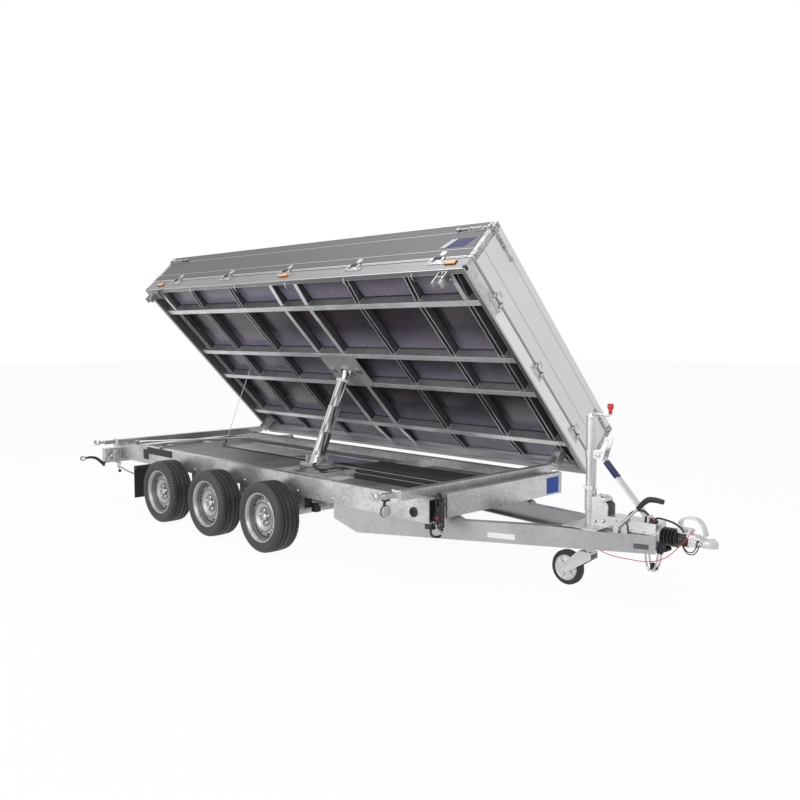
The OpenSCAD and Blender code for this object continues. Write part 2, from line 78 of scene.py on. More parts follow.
reach = 40.0
ground = bpy.data.meshes.new("floor")
ground.from_pydata([(-reach, -reach, 0), (reach, -reach, 0), (reach, reach, 0), (-reach, reach, 0)], [], [(0, 1, 2, 3)])
floor = bpy.data.objects.new("floor", ground); bpy.context.scene.collection.objects.link(floor)
paper = bpy.data.materials.new("paper_floor"); paper.use_nodes = True
paper.node_tree.nodes.clear()
matt = paper.node_tree.nodes.new("ShaderNodeBsdfDiffuse"); matt.inputs[0].default_value = (0.85, 0.85, 0.85, 1)
seen_white(paper.node_tree, matt, 0.95, paper.node_tree.nodes.new("ShaderNodeOutputMaterial").inputs[0])
floor.data.materials.append(paper)


def soft_lamp(name, place, aim, size, power):
    """A square lamp at place, turned to face aim."""
    lamp = bpy.data.lights.new(name, "AREA"); lamp.size = size; lamp.energy = power
    holder = bpy.data.objects.new(name, lamp); bpy.context.scene.collection.objects.link(holder)
    way = np.array(aim, float) - np.array(place, float)
    holder.location = place
    holder.rotation_euler = (math.atan2(math.hypot(way[0], way[1]), -way[2]), 0, math.atan2(way[0], -way[1]) + math.pi)


soft_lamp("lamp_front", (5.5, -7.0, 5.5), (0, 0, 0.9), 6.0, 300)
soft_lamp("lamp_over", (-1.0, -1.0, 8.0), (0, 0, 0.6), 7.0, 280)
soft_lamp("lamp_low", (-1.8, -6.5, 1.0), (-0.3, 0, 0.8), 4.0, 130)

lens = bpy.data.cameras.new("camera"); lens.lens = 38.93; lens.sensor_width = 36.0
camera = bpy.data.objects.new("camera", lens); bpy.context.scene.collection.objects.link(camera)
camera.location = (5.8784 - 0.9025, -4.6122 - 0.15239, 1.6113)
camera.rotation_euler = (math.radians(90 - 4.447), 0, math.radians(135.218 - 90))
bpy.context.scene.camera = camera
bpy.context.scene.view_settings.view_transform = "Standard"


# Cables: a red steel breakaway cable, the black lamp cable with its parked plug, a rubber covered
# loop, the wire that stops the bed and the ram's hose, each bent by hand and held at its two ends.
def eased(points, count):
    """A path through all points: between two knots it is the cubic that leaves each parallel to the line joining its neighbours."""
    p = np.asarray(points, float)
    e = np.vstack([2 * p[0] - p[1], p, 2 * p[-1] - p[-2]])
    t = np.linspace(0, len(p) - 1, count)
    i = np.minimum(t.astype(int), len(p) - 2)
    f = (t - i)[:, None]
    a, b, c, d = e[i], e[i + 1], e[i + 2], e[i + 3]
    return 0.5 * (2 * b + (c - a) * f + (2 * a - 5 * b + 4 * c - d) * f**2 + (3 * b - a - 3 * c + d) * f**3)


def skin(grid, around=True, ends=True, loop=False):
    """Quads between neighbouring rows and columns of a grid of points. Around joins the last column to the first, loop the last row to the first, ends closes both end rows."""
    number = np.arange(grid.shape[0] * grid.shape[1]).reshape(grid.shape[:2])
    wide = np.hstack([number, number[:, :1]]) if around else number
    wide = np.vstack([wide, wide[:1]]) if loop else wide
    quads = np.stack([wide[:-1, :-1], wide[:-1, 1:], wide[1:, 1:], wide[1:, :-1]], -1).reshape(-1, 4).tolist()
    if ends and not loop:
        quads += [number[0, ::-1].tolist(), number[-1].tolist()]
    return grid.reshape(-1, 3), quads


def carried(path, ring, ends=True):
    """A ring of (a, b) offsets along a path: each point is path + a * side + b * up, where side and up stand square to the run and turn with it by the least angle."""
    path = np.asarray(path, float)
    run = np.gradient(path, axis=0); run /= np.linalg.norm(run, axis=1)[:, None]
    side = np.cross(run[0], np.eye(3)[np.argmin(np.abs(run).sum(0))]); sides = []
    for r in run:
        side = side - r * (side @ r); side = side / np.linalg.norm(side); sides.append(side)
    side = np.array(sides); up = np.cross(run, side)
    ring = np.broadcast_to(np.asarray(ring, float), (len(path), *np.shape(ring)[-2:]))
    return skin(path[:, None] + ring[..., :1] * side[:, None] + ring[..., 1:] * up[:, None], ends=ends)


def circle(radius, sides):
    """Points (radius * cos, radius * sin) at equal steps; radius may be a row of values, one for each ring."""
    a = np.linspace(0, 2 * np.pi, sides, endpoint=False)
    return np.asarray(radius, float)[..., None, None] * np.stack([np.cos(a), np.sin(a)], -1)


def tube(path, radius, sides=12):
    """A round tube: the circle carried along the path; radius is one value or one for each point."""
    return carried(path, circle(radius, sides))


def turned(profile, centre, axis, sides, ring=False):
    """Profile of (radius, height) turned about an axis through centre; heights run along the axis. A ring's profile is closed on itself, with a bore."""
    r, h = np.asarray(profile, float).T
    a = np.linspace(0, 2 * np.pi, sides, endpoint=False)
    flat = np.stack([r[:, None] * np.cos(a), r[:, None] * np.sin(a), h[:, None] + 0 * a], -1)
    return skin(flat[..., {"x": [2, 0, 1], "y": [0, 2, 1], "z": [0, 1, 2]}[axis]] + np.asarray(centre, float), ends=not ring, loop=ring)


def block(x, y, z):
    """A straight bar between the two x, the two y and the two z."""
    ring = [(y[0], z[0]), (y[1], z[0]), (y[1], z[1]), (y[0], z[1])]
    return skin(np.array([[(a, *p) for p in ring] for a in x], float))


def plate(corners, thickness, normal=None):
    """A flat plate of any outline: the corners, and the same corners moved by the thickness along the plate's normal."""
    c = np.asarray(corners, float)
    n = np.cross(c[1] - c[0], c[2] - c[0]) if normal is None else np.asarray(normal, float)
    return skin(np.stack([c, c + n / np.linalg.norm(n) * thickness]))


def in_frame(points):
    """Millimetres from the middle axle, centre line and ground to metres in the shared frame: (x - 902.5, y - 152.39, z) / 1000."""
    return (np.asarray(points, float) - (902.5, 152.39049575, 0)) / 1000


tilt = math.radians(45.7)


def tipped(points):
    """A place on the flat bed turned 45.7 degrees about the left balls, the line y 852, z 600."""
    p = np.array(points, float)
    dy, dz = p[..., 1] - 852, p[..., 2] - 600
    p[..., 1] = 852 + dy * math.cos(tilt) + dz * math.sin(tilt)
    p[..., 2] = 600 - dy * math.sin(tilt) + dz * math.cos(tilt)
    return p


def piece(name, shapes, finish, body, tip=False, bevel=0.0, smooth=35):
    """Joins surfaces given in millimetres into one object in the shared frame, with every normal outward, and sets it on its body."""
    points, faces, count = [], [], 0
    for p, f in shapes:
        points.append(p); faces += [[n + count for n in face] for face in f]; count += len(p)
    points = np.vstack(points)
    points = in_frame(tipped(points) if tip else points)
    mesh = bpy.data.meshes.new(name); mesh.from_pydata(points.tolist(), [], faces)
    work = bmesh.new(); work.from_mesh(mesh)
    bmesh.ops.recalc_face_normals(work, faces=work.faces); work.to_mesh(mesh); work.free()
    mesh.shade_smooth(); mesh.set_sharp_from_angle(angle=math.radians(smooth))
    made = bpy.data.objects.new(name, mesh); bpy.context.scene.collection.objects.link(made)
    mesh.materials.append(finish)
    if bevel:
        edge = made.modifiers.new("edge", "BEVEL"); edge.width = bevel / 1000; edge.segments = 2
        edge.limit_method = "ANGLE"; edge.angle_limit = math.radians(40)
    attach(made, body)
    return made


def plain(name, colour, rough, spread=0.2, scale=30.0, bump=0.1, metallic=0.0, coat=0.0):
    """Moulded, painted or covered surface: fine noise shades the colour and breaks the gloss."""
    finish = bpy.data.materials.new(name); finish.use_nodes = True
    tree = finish.node_tree; shader = tree.nodes["Principled BSDF"]
    place = tree.nodes.new("ShaderNodeTexCoord")
    grain = tree.nodes.new("ShaderNodeTexNoise"); grain.inputs["Scale"].default_value = scale; grain.inputs["Detail"].default_value = 6
    tree.links.new(place.outputs["Object"], grain.inputs["Vector"])
    ramp = tree.nodes.new("ShaderNodeValToRGB"); tree.links.new(grain.outputs[0], ramp.inputs[0])
    low, high = ramp.color_ramp.elements
    low.position, high.position = 0.3, 0.7
    low.color = (*[c * (1 - spread) for c in colour], 1)
    high.color = (*[min(1, c * (1 + spread)) for c in colour], 1)
    tree.links.new(ramp.outputs[0], shader.inputs["Base Color"])
    dull = tree.nodes.new("ShaderNodeMapRange"); tree.links.new(grain.outputs[0], dull.inputs[0])
    dull.inputs[3].default_value = max(0.05, rough - 0.1); dull.inputs[4].default_value = rough + 0.1
    tree.links.new(dull.outputs[0], shader.inputs["Roughness"])
    if bump:
        bumps = tree.nodes.new("ShaderNodeBump"); bumps.inputs["Strength"].default_value = bump; bumps.inputs["Distance"].default_value = 0.002
        tree.links.new(grain.outputs[0], bumps.inputs["Height"]); tree.links.new(bumps.outputs[0], shader.inputs["Normal"])
    shader.inputs["Metallic"].default_value = metallic
    shader.inputs["Coat Weight"].default_value = coat
    return finish


black_rubber = plain("black_rubber", (0.014, 0.014, 0.015), 0.55)
red_cover = plain("red_cover", (0.62, 0.03, 0.03), 0.35, bump=0.0)


def cable(name, knots, radius, finish, body="chassis", count=40):
    """One cable through the knots."""
    path = eased(knots, count)
    made = piece(name, [tube(path, radius, 10)], finish, body)
    return made


cable("breakaway_cable", [(3634, -34, 500), (3622, -52, 486), (3592, -66, 436), (3530, -68, 366), (3464, -67, 309), (3364, -66, 271),
      (3238, -64, 262), (3116, -62, 263), (3040, -60, 278), (2985, -60, 302), (2966, -60, 331)], 2.5, red_cover)
cable("lamp_cable", [(3205, -24, 496), (3218, -26, 528), (3264, -34, 556), (3306, -38, 562), (3340, -42, 548), (3352, -43, 532)],
      7, black_rubber)
cable("brake_cable", [(3388, -44, 522), (3410, -46, 534), (3460, -48, 532), (3511, -48, 522), (3551, -44, 500), (3572, -38, 474)],
      6, black_rubber)
hang = np.linspace(0, np.pi, 18)[:, None]
for number, (drop, wide) in enumerate([(76, 52), (62, 43)]):
    loop = np.hstack([3608 - wide * np.cos(hang), np.full_like(hang, -34 - 9 * number), 428 - drop * np.sin(hang)])
    cable(f"hook_rope_{number}", np.vstack([loop[:1] + (0, 6, 14), loop, loop[-1:] + (0, 6, 14)]), 3.2, black_rubber)
coil = np.linspace(0.9, 2.55, 20)[:, None] * np.pi
ring = np.hstack([715 + 92 * np.cos(coil), -245 + 92 * np.sin(coil), 514 + 3 * coil])
cable("ram_hose", np.vstack([[(322, -86, 532), (352, -128, 528), (420, -176, 518), (500, -206, 513)], ring, [(700, -120, 536), (820, -96, 530), (930, -84, 548), (1004, -80, 560)]]),
      7.5, black_rubber, count=70)

galvanised_wire = plain("wire_zinc", (0.55, 0.55, 0.56), 0.3, scale=400, bump=0.3, metallic=0.9)
wire = np.linspace((-1256, 378, 1252), (-1356, 150, 540), 16) + np.stack([0 * np.linspace(0, 1, 16), -7 * np.sin(np.linspace(0, np.pi, 16)), 0 * np.linspace(0, 1, 16)], -1)
hook = piece("limit_hook", [tube(eased([wire[-1], (-1357, 146, 528), (-1358, 140, 514), (-1362, 128, 508), (-1366, 118, 516)], 14), 5, 10), turned([(6, 530), (8, 533), (8, 552), (5, 556)], (-1356, 150, 0), "z", 12)],
             black_rubber, "bed")
tag = piece("limit_tag", [plate([(-1358, 150, 534), (-1344, 128, 530), (-1346, 122, 508), (-1360, 144, 512)], 1.5)], red_cover, "bed")
stop = cable("tip_limit_wire", wire, 2.6, galvanised_wire, body="bed")
for part in (stop, hook, tag):
    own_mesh(part)

# Tyres: low profile load rubber, moulded with four grooves round the tread and cut shoulders.
# The side wall has two thin raised rings; the bead sits on the rim's edge.
def tyre(x, side):
    """Radius by place across the section: side wall bulge, crown 262.5 - 3 * (w / 72)^2, less 8 in a groove and 5 in a shoulder cut, turned about the axle."""
    w = np.array([84, 92, 94.5, 96.8, 95.5, 97.5, 97.2, 98.2, 96.5, 96, 92, 87, 80, 72, 58, 57, 49, 48, 27, 26, 18, 17], float)
    r = np.array([183.5, 190, 199, 200.5, 202, 212, 224, 225.5, 227, 236, 245, 252, 257, 259.4, 260.6, 252.6, 253, 261.2, 262.1, 254.2, 254.4, 262.4])
    cut = np.array([0, 0, 0, 0, 0, 0, 0, 0, 0, 0, 0, 2.5, 5, 5, 5, 0, 0, 2, 2, 0, 0, 1.5])
    w = np.concatenate([w, -w[::-1]]); r = np.concatenate([r, r[::-1]]); cut = np.concatenate([cut, cut[::-1]])
    a = np.linspace(0, 2 * np.pi, 256, endpoint=False)[:, None]
    notch = (np.arange(256) % 4 == 0)[:, None]
    rr = r - cut * notch
    grid = np.stack([x + rr * np.cos(a), side * (862 + w) + 0 * a, 262.5 + rr * np.sin(a)], -1)
    return skin(grid, around=True, loop=True)


rubber = plain("tyre_rubber", (0.030, 0.030, 0.031), 0.5, spread=0.15, scale=60)
wheels = {"front": 725, "middle": 0, "rear": -725}
sides = {"right": -1, "left": 1}
for place, x in wheels.items():
    for hand, side in sides.items():
        name = f"{place}_{hand}"
        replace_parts(piece(f"tread_{name}", [tyre(x, side)], rubber, f"wheel_{name}", smooth=40), f"tyre_{name}")


# Wheel bolts, caps and drums: five plated cone bolts hold the rim on a cast drum; a pressed cap
# covers the bearing, and a rubber valve stands in the rim's well.
def repeated(shape, offsets):
    """The same surface at each offset: every point plus the offset, every face's numbers raised by the points before it."""
    p, f = shape
    offsets = np.asarray(offsets, float)
    return (offsets[:, None] + p).reshape(-1, 3), [[n + k * len(p) for n in face] for k in range(len(offsets)) for face in f]


def bright_steel(name, light, rough, metallic=1.0, tint=(1, 1, 1.01)):
    """Plated or lacquered bright steel: slow noise moves the gloss a little, the colour stays even."""
    return plain(name, tuple(light * t for t in tint), rough, spread=0.05, scale=9, bump=0.0, metallic=metallic)


plated = bright_steel("plated_steel", 0.50, 0.28)
cast_drum = plain("drum_paint", (0.05, 0.05, 0.052), 0.5)


def pressed_rim(name, x):
    """Silver lacquer with painted shade and painted highlight set by the distance from the axle, sqrt(x^2 + z^2):
    painted highlight on the raised rings, painted shade in the pressed grooves.
    """
    finish = plain(name, (0.5, 0.5, 0.5), 0.36, spread=0.05, scale=9, bump=0.0, metallic=0.7)
    tree = finish.node_tree
    place, shift, flat, far, rings, fine = [tree.nodes.new("ShaderNode" + kind) for kind in ("TexCoord", "Mapping", "VectorMath", "VectorMath", "ValToRGB", "Mix")]
    shift.inputs["Location"].default_value = (-(x - 902.5) / 1000, 0, -0.2625)
    flat.operation = "MULTIPLY"; flat.inputs[1].default_value = (5, 0, 5); far.operation = "LENGTH"
    tree.links.new(place.outputs["Object"], shift.inputs[0]); tree.links.new(shift.outputs[0], flat.inputs[0]); tree.links.new(flat.outputs[0], far.inputs[0])
    tree.links.new(far.outputs["Value"], rings.inputs[0])
    steps = rings.color_ramp.elements
    # Painted shade and painted highlight: dark greys at the groove radii, light greys at the ring radii.
    ring_shade_greys = [(30, 0.10), (36, 0.42), (60, 0.34), (66, 0.10), (74, 0.50), (100, 0.44), (108, 0.10), (115, 0.40), (124, 0.50), (142, 0.36), (149, 0.08), (158, 0.10), (163, 0.50), (170, 0.28), (176, 0.62)]
    for r, _ in ring_shade_greys[2:]:
        steps.new(r / 200)
    for k, (r, grey) in enumerate(ring_shade_greys):
        steps[k].position = r / 200; steps[k].color = (grey, grey, grey * 1.01, 1)
    fine.data_type = "RGBA"; fine.blend_type = "MULTIPLY"; fine.inputs[0].default_value = 0.25
    tree.links.new(rings.outputs[0], fine.inputs[6]); tree.links.new(tree.nodes["Noise Texture"].outputs[0], fine.inputs[7])
    tree.links.new(fine.outputs[2], tree.nodes["Principled BSDF"].inputs["Base Color"])
    return finish


for place, x in wheels.items():
    lacquer = pressed_rim(f"rim_painted_rings_{place}", x)
    for hand, side in sides.items():
        name = f"{place}_{hand}"
        solids[f"rim_{name}"].data.materials.clear(); solids[f"rim_{name}"].data.materials.append(lacquer)
        # Painted shade: small discs in the drum's black paint stand where the rim's holes are, as the shade seen
        # through them.
        turn = np.radians([8, 22, 36, 80, 94, 108, 152, 166, 180, 224, 238, 252, 296, 310, 324])
        holes = np.stack([x + 133 * np.cos(turn), np.full(15, side * 862.0), 262.5 + 133 * np.sin(turn)], -1)
        piece(f"rim_hole_shade_{name}", [repeated(turned([(7.5, side * 34), (7.5, side * 41.5), (1, side * 41.5)], (0, 0, 0), "y", 12), holes)], cast_drum, f"wheel_{name}")
        a = np.radians(np.arange(5) * 72 + 18)
        ring = np.stack([x + 48 * np.cos(a), np.full(5, side * 862.0), 262.5 + 48 * np.sin(a)], -1)
        bolt = turned([(9.5, side * 27), (12, side * 30), (12, side * 40), (8, side * 44), (1, side * 44)], (0, 0, 0), "y", 6)
        cap = turned([(29.5, side * 24), (30, side * 38), (26, side * 45), (15, side * 49), (1, side * 50)], (x, side * 862, 262.5), "y", 28)
        valve = tube(eased([(x + 96, side * (862 + 38), 262.5 + 96), (x + 103, side * (862 + 52), 262.5 + 103), (x + 106, side * (862 + 64), 262.5 + 106)], 6), 4, 8)
        piece(f"wheel_bolts_{name}", [repeated(bolt, ring), cap], plated, f"wheel_{name}", bevel=0.8)
        piece(f"valve_{name}", [valve], black_rubber, f"wheel_{name}")
        piece(f"drum_{name}", [turned([(30, side * -88), (122, side * -88), (126, side * -80), (126, side * -6), (118, side * 2), (64, side * 6), (30, side * 6)],
              (x, side * 862, 262.5), "y", 48)], cast_drum, f"wheel_{name}", bevel=1.5)


# Side rails, cross members, inner rails, tipping tubes and axles: folded and drawn steel sections
# dipped in zinc after welding. The bath leaves a pale grey skin with clouds and a faint spangle.
def zinc(name, light=0.55, cloud=0.12, spangle=55.0, rough=0.42, metallic=0.75, patch=3.1):
    """Cell noise gives each crystal its own grey, slow noise the clouds; both change the gloss."""
    finish = bpy.data.materials.new(name); finish.use_nodes = True
    tree = finish.node_tree; shader = tree.nodes["Principled BSDF"]
    place = tree.nodes.new("ShaderNodeTexCoord")
    cells = tree.nodes.new("ShaderNodeTexVoronoi"); cells.inputs["Scale"].default_value = spangle
    slow = tree.nodes.new("ShaderNodeTexNoise"); slow.inputs["Scale"].default_value = patch; slow.inputs["Detail"].default_value = 5
    for n in (cells, slow):
        tree.links.new(place.outputs["Object"], n.inputs["Vector"])
    grey = tree.nodes.new("ShaderNodeSeparateColor"); tree.links.new(cells.outputs["Color"], grey.inputs[0])
    blend = tree.nodes.new("ShaderNodeMath"); blend.operation = "MULTIPLY_ADD"
    tree.links.new(grey.outputs[0], blend.inputs[0]); blend.inputs[1].default_value = 0.2
    tree.links.new(slow.outputs[0], blend.inputs[2])
    ramp = tree.nodes.new("ShaderNodeValToRGB"); tree.links.new(blend.outputs[0], ramp.inputs[0])
    low, high = ramp.color_ramp.elements
    low.position, high.position = 0.38, 0.85
    low.color = (light - cloud, light - cloud, light - cloud + 0.008, 1)
    high.color = (light + cloud, light + cloud, light + cloud + 0.010, 1)
    tree.links.new(ramp.outputs[0], shader.inputs["Base Color"])
    dull = tree.nodes.new("ShaderNodeMapRange"); tree.links.new(blend.outputs[0], dull.inputs[0])
    dull.inputs[3].default_value = rough - 0.08; dull.inputs[4].default_value = rough + 0.12
    tree.links.new(dull.outputs[0], shader.inputs["Roughness"])
    bump = tree.nodes.new("ShaderNodeBump"); bump.inputs["Strength"].default_value = 0.06; bump.inputs["Distance"].default_value = 0.002
    tree.links.new(grey.outputs[0], bump.inputs["Height"]); tree.links.new(bump.outputs[0], shader.inputs["Normal"])
    shader.inputs["Metallic"].default_value = metallic
    return finish


def dress(finish, *names):
    """Gives each named solid that finish."""
    for name in names:
        solids[name].data.materials.clear()
        solids[name].data.materials.append(finish)


rail_zinc = zinc("rail_zinc", light=0.56, cloud=0.15, rough=0.32, metallic=0.85)
dress(rail_zinc, "side_rails", "cross_members", "pivot_beams", "rear_bar")
dress(zinc("arm_zinc", light=0.40, cloud=0.05, rough=0.34, metallic=0.85), "drawbar_arms")
dress(zinc("inner_zinc", light=0.50, cloud=0.15, metallic=0.6), "inner_rails", "axles")


# Rail fittings: bolts through the rail's wall, a black lamp socket near its front end, the rear
# rubber strip and the sleeve plate where the front tipping tube passes over the rail.
def hex_bolt(place, axis, size=9, height=7, out=1):
    """Six sided head with its crown turned down, standing out from its washer along the axis."""
    return turned([(size * 1.4, 0), (size * 1.4, out * 1.5), (size, out * 1.6), (size, out * height), (size * 0.7, out * (height + 1)), (1, out * (height + 1))], place, axis, 6)


piece("rail_bolts", [hex_bolt((x, s * 700, z), "y", out=s) for s in (-1, 1) for x, z in
      [(1260, 442), (1366, 449), (860, 446), (180, 446), (-560, 446), (-1180, 446), (-1780, 446), (1960, 546), (2120, 546)]],
      plated, "chassis")
socket = [(33, 0), (33, -6), (30, -9), (22, -9), (20, -3), (1, -3)]
piece("lamp_socket", [turned(socket, (2060, -700, 467), "y", 24)] + [turned([(5, 0), (5, -13), (1, -13)], (2060 + 12 * math.cos(a), -700, 467 + 12 * math.sin(a)), "y", 8)
      for a in np.radians([30, 150, 270])], black_rubber, "chassis", bevel=0.8)
piece("rail_rubber", [block((-1350, -930), (-709, -700), (506, 566)), block((-1420, -1350), (-709, -700), (452, 540))], black_rubber, "chassis",
      bevel=2)
sleeve = [block((2009, 2071), (-846, -836), (549, 621)), block((1998, 2082), (-836, -833), (545, 624))]
piece("tube_end_plates", [s for s in sleeve] + [(p - (3740, 0, 0), f) for p, f in sleeve], bright_steel("end_plate_zinc", 0.66, 0.45, metallic=0.5), "chassis",
      bevel=1)


# Stays: two thin drawn rods cross over the rear of the chassis from rail to rail, their ends
# pressed flat and bolted down; dipped in zinc.
rods, ends = [], []
for (x0, y0, x1, y1, z) in [(-1150, -682, -1583, 652, 578), (-1589, -682, -965, 652, 592)]:
    rods.append(tube(np.linspace((x0, y0, z), (x1, y1, z), 4), 7, 10))
    ends += [s for x, y in [(x0, y0), (x1, y1)] for s in (block((x - 16, x + 16), (y - 18, y + 18), (567.2, z + 5)), hex_bolt((x, y, z + 5), "z"))]
piece("stay_rods", rods, zinc("rod_zinc", light=0.68, cloud=0.08, rough=0.3, metallic=0.85), "chassis")
piece("stay_ends", ends, plated, "chassis", bevel=1)
piece("lamp_wire_rod", [tube(np.linspace((2170, 192, 452), (2170, 192, 573), 3), 3, 8)], plated, "chassis")


# Deck: perforated zinc plate between the rails, and on it the battery and tool box, a black moulded body with a ribbed
# lid; thin light strips along the lid's tiers are painted highlight.
def perforated(name, light, pitch, hole):
    """Rows of round holes set off by half a pitch: the distance to the nearest hole's middle, less its radius, splits
    the holes, painted near black as painted shade, from the bright plate.
    """
    finish = zinc(name, light=light, cloud=0.10, metallic=0.6, rough=0.45)
    tree = finish.node_tree; shader = tree.nodes["Principled BSDF"]
    place = tree.nodes.new("ShaderNodeTexCoord")
    cells = tree.nodes.new("ShaderNodeTexVoronoi"); cells.voronoi_dimensions = "2D"
    cells.inputs["Scale"].default_value = 1 / pitch; cells.inputs["Randomness"].default_value = 0.0
    turn = tree.nodes.new("ShaderNodeMapping"); turn.inputs["Rotation"].default_value = (0, 0, math.radians(45))
    tree.links.new(place.outputs["Object"], turn.inputs[0]); tree.links.new(turn.outputs[0], cells.inputs["Vector"])
    step = tree.nodes.new("ShaderNodeMapRange"); step.inputs[1].default_value = hole / pitch - 0.06; step.inputs[2].default_value = hole / pitch + 0.06
    tree.links.new(cells.outputs["Distance"], step.inputs[0])
    both = tree.nodes.new("ShaderNodeMix"); both.data_type = "RGBA"
    # Painted shade: the holes are coloured near black.
    both.inputs[6].default_value = (0.03, 0.03, 0.03, 1)
    tree.links.new(step.outputs[0], both.inputs[0])
    tree.links.new(tree.nodes["Color Ramp"].outputs[0], both.inputs[7])
    tree.links.new(both.outputs[2], shader.inputs["Base Color"])
    return finish


dress(perforated("deck_zinc", 0.36, 0.017, 0.0052), "deck_plates")
box_black = plain("box_moulding", (0.012, 0.012, 0.013), 0.6, scale=180, bump=0.25)
dress(box_black, "tool_box")
# Painted highlight: light strips along the tier edges of the black lid.
trim = [block((991, 1992), (y, y + 3), (z, z + 4)) for y, z in [(-262, 549), (-248, 581), (59, 549)]]
piece("box_tier_highlights", trim, bright_steel("tier_highlight_zinc", 0.42, 0.4, metallic=0.6), "chassis")
piece("box_ribs", [block((1012, 1976), (y - 14, y + 14), (607, 609.5)) for y in (-210, -170, -130, -90, -50, -10)], box_black, "chassis", bevel=1)
well = [block((820, 828), (-634, 634), (500, 540)), block((340, 348), (-634, -270), (500, 534)), block((348, 820), (-412, -404), (470, 512)), block((830, 990), (-400, -300), (500.5, 506))]
piece("deck_edges", well + [block((-1665, 2005), (s * 640 - 6, s * 640 + 6), (506, 513)) for s in (-1, 1)], zinc("edge_zinc", light=0.62, cloud=0.08), "chassis", bevel=1.5)
pale_sheet = zinc("sheet_zinc", light=0.66, cloud=0.10, rough=0.5, metallic=0.45)
piece("deck_sheets", [block((-1290, -262), (110, 440), (505.8, 507)), block((-1294, -1288), (100, 446), (505.8, 512)), block((-200, 150), (100, 108), (505.8, 511)),
      block((-1290, 812), (440, 448), (505.8, 511)), block((848, 985), (-400, -250), (505.8, 508))], pale_sheet, "chassis")
piece("deck_film_sheet", [block((-250, 380), (206, 432), (505.8, 507))], plain("lilac_film", (0.34, 0.32, 0.43), 0.5, spread=0.2, scale=9), "chassis")
# Painted shadow: black strips laid on the deck where the plates' edges throw shadow.
piece("deck_shadow_strips", [block((-1290, 140), (44, 100), (505.8, 506.6)), block((330, 812), (108, 206), (505.8, 506.6))], box_black, "chassis")
piece("deck_bolts", [hex_bolt((x, y, 506), "z", 8, 6) for x in (-1600, -1200, -800, -400, -190, -120, 300, 1040, 1400, 1960) for y in (-600, 600)], plated, "chassis")


# Ram: hard chromed telescopic stages in a drawn barrel that swings on two pins in a bright cradle;
# a cast collar holds the top ball under the green passivated plate of the bed.
dress(bright_steel("barrel_zinc", 0.50, 0.25), "ram_barrel")
dress(bright_steel("cradle_zinc", 0.68, 0.38, metallic=0.6), "ram_cradle")
dress(zinc("plate_passivated", light=0.50, cloud=0.09, rough=0.38, metallic=0.55, patch=9), "ram_plate")
lean = math.radians(24.302)


def on_ram(points, out=0.0):
    """From the ram's own axes, foot pin at the origin and height along the ram, turned 24.3 degrees to the left side, and out mm further along it."""
    p = np.array(points, float); y, z = p[..., 1].copy(), p[..., 2] + out
    p[..., 1] = y * math.cos(lean) + z * math.sin(lean)
    p[..., 2] = -y * math.sin(lean) + z * math.cos(lean) + 545
    p[..., 0] += 235
    return p


def stage_tube(outer, inner, low, high, stage, tip):
    """One stage: a tube whose outer wall ends in a gland ring with two shallow grooves, the tip rows given last, turned about the ram's axis."""
    wall = [(inner, high), (inner, low), (outer, low), (outer, high - 16), (outer + 2.2, high - 14), (outer + 2.2, high - 9), (outer + 0.8, high - 8), (outer + 2.2, high - 7), (outer + 2.2, high - 1), (outer, high)]
    p, f = turned([q for q in (wall[1:] if tip else wall)] + tip, (0, 0, 0), "z", 64, ring=not tip)
    return on_ram(p, stage * 216.389), f


def drawn_chrome(name, light, rough):
    """Hard chrome with painted reflection: noise stretched along the ram, turned to its lean, paints bright and dark
    streaks into the colour.
    """
    finish = bpy.data.materials.new(name); finish.use_nodes = True
    tree = finish.node_tree; shader = tree.nodes["Principled BSDF"]
    place = tree.nodes.new("ShaderNodeTexCoord")
    turn, stretch = tree.nodes.new("ShaderNodeMapping"), tree.nodes.new("ShaderNodeMapping")
    turn.inputs["Rotation"].default_value = (lean, 0, 0); stretch.inputs["Scale"].default_value = (34, 34, 0.4)
    tree.links.new(place.outputs["Object"], turn.inputs[0]); tree.links.new(turn.outputs[0], stretch.inputs[0])
    lines = tree.nodes.new("ShaderNodeTexNoise"); lines.inputs["Scale"].default_value = 1.0; lines.inputs["Detail"].default_value = 2
    tree.links.new(stretch.outputs[0], lines.inputs["Vector"])
    ramp = tree.nodes.new("ShaderNodeValToRGB"); tree.links.new(lines.outputs[0], ramp.inputs[0])
    low, high = ramp.color_ramp.elements
    low.position, high.position = 0.40, 0.58
    # Painted reflection: streaks run from 0.3 of the light grey up to the full grey.
    low.color = (light * 0.30, light * 0.30, light * 0.31, 1); high.color = (light, light, light * 1.01, 1)
    tree.links.new(ramp.outputs[0], shader.inputs["Base Color"])
    shader.inputs["Metallic"].default_value = 1.0; shader.inputs["Roughness"].default_value = rough
    return finish


chrome = drawn_chrome("ram_chrome", 0.74, 0.12)
white_collar = bright_steel("collar_steel", 0.80, 0.45, metallic=0.2)
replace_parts(piece("ram_tube_1", [stage_tube(53.5, 50.5, -222, 30, 1, [])], chrome, "ram_stage_1", smooth=50), "ram_stage_1")
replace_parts(piece("ram_tube_2", [stage_tube(50, 47.5, -222, 46, 2, [])], chrome, "ram_stage_2", smooth=50), "ram_stage_2")
neck = [(22, 63), (22, 134), (26, 139), (30.6, 152), (31, 163), (28, 176), (18, 188), (1, 194)]
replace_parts(piece("ram_tube_3", [stage_tube(47, 1, -222, 62, 3, neck)], chrome, "ram_stage_3", smooth=50), "ram_stage_3")
p, f = turned([(48, 50), (58, 51), (60, 54), (60, 68), (57, 73), (24, 75)], (0, 0, 0), "z", 56, ring=True)
piece("ram_collar", [(on_ram(p, 3 * 216.389), f)], white_collar, "ram_stage_3", smooth=40)
p, f = turned([(54, 1), (61, 2), (61, 6), (58, 7), (61, 8), (61, 12), (54, 13)], (0, 0, 0), "z", 56, ring=True)
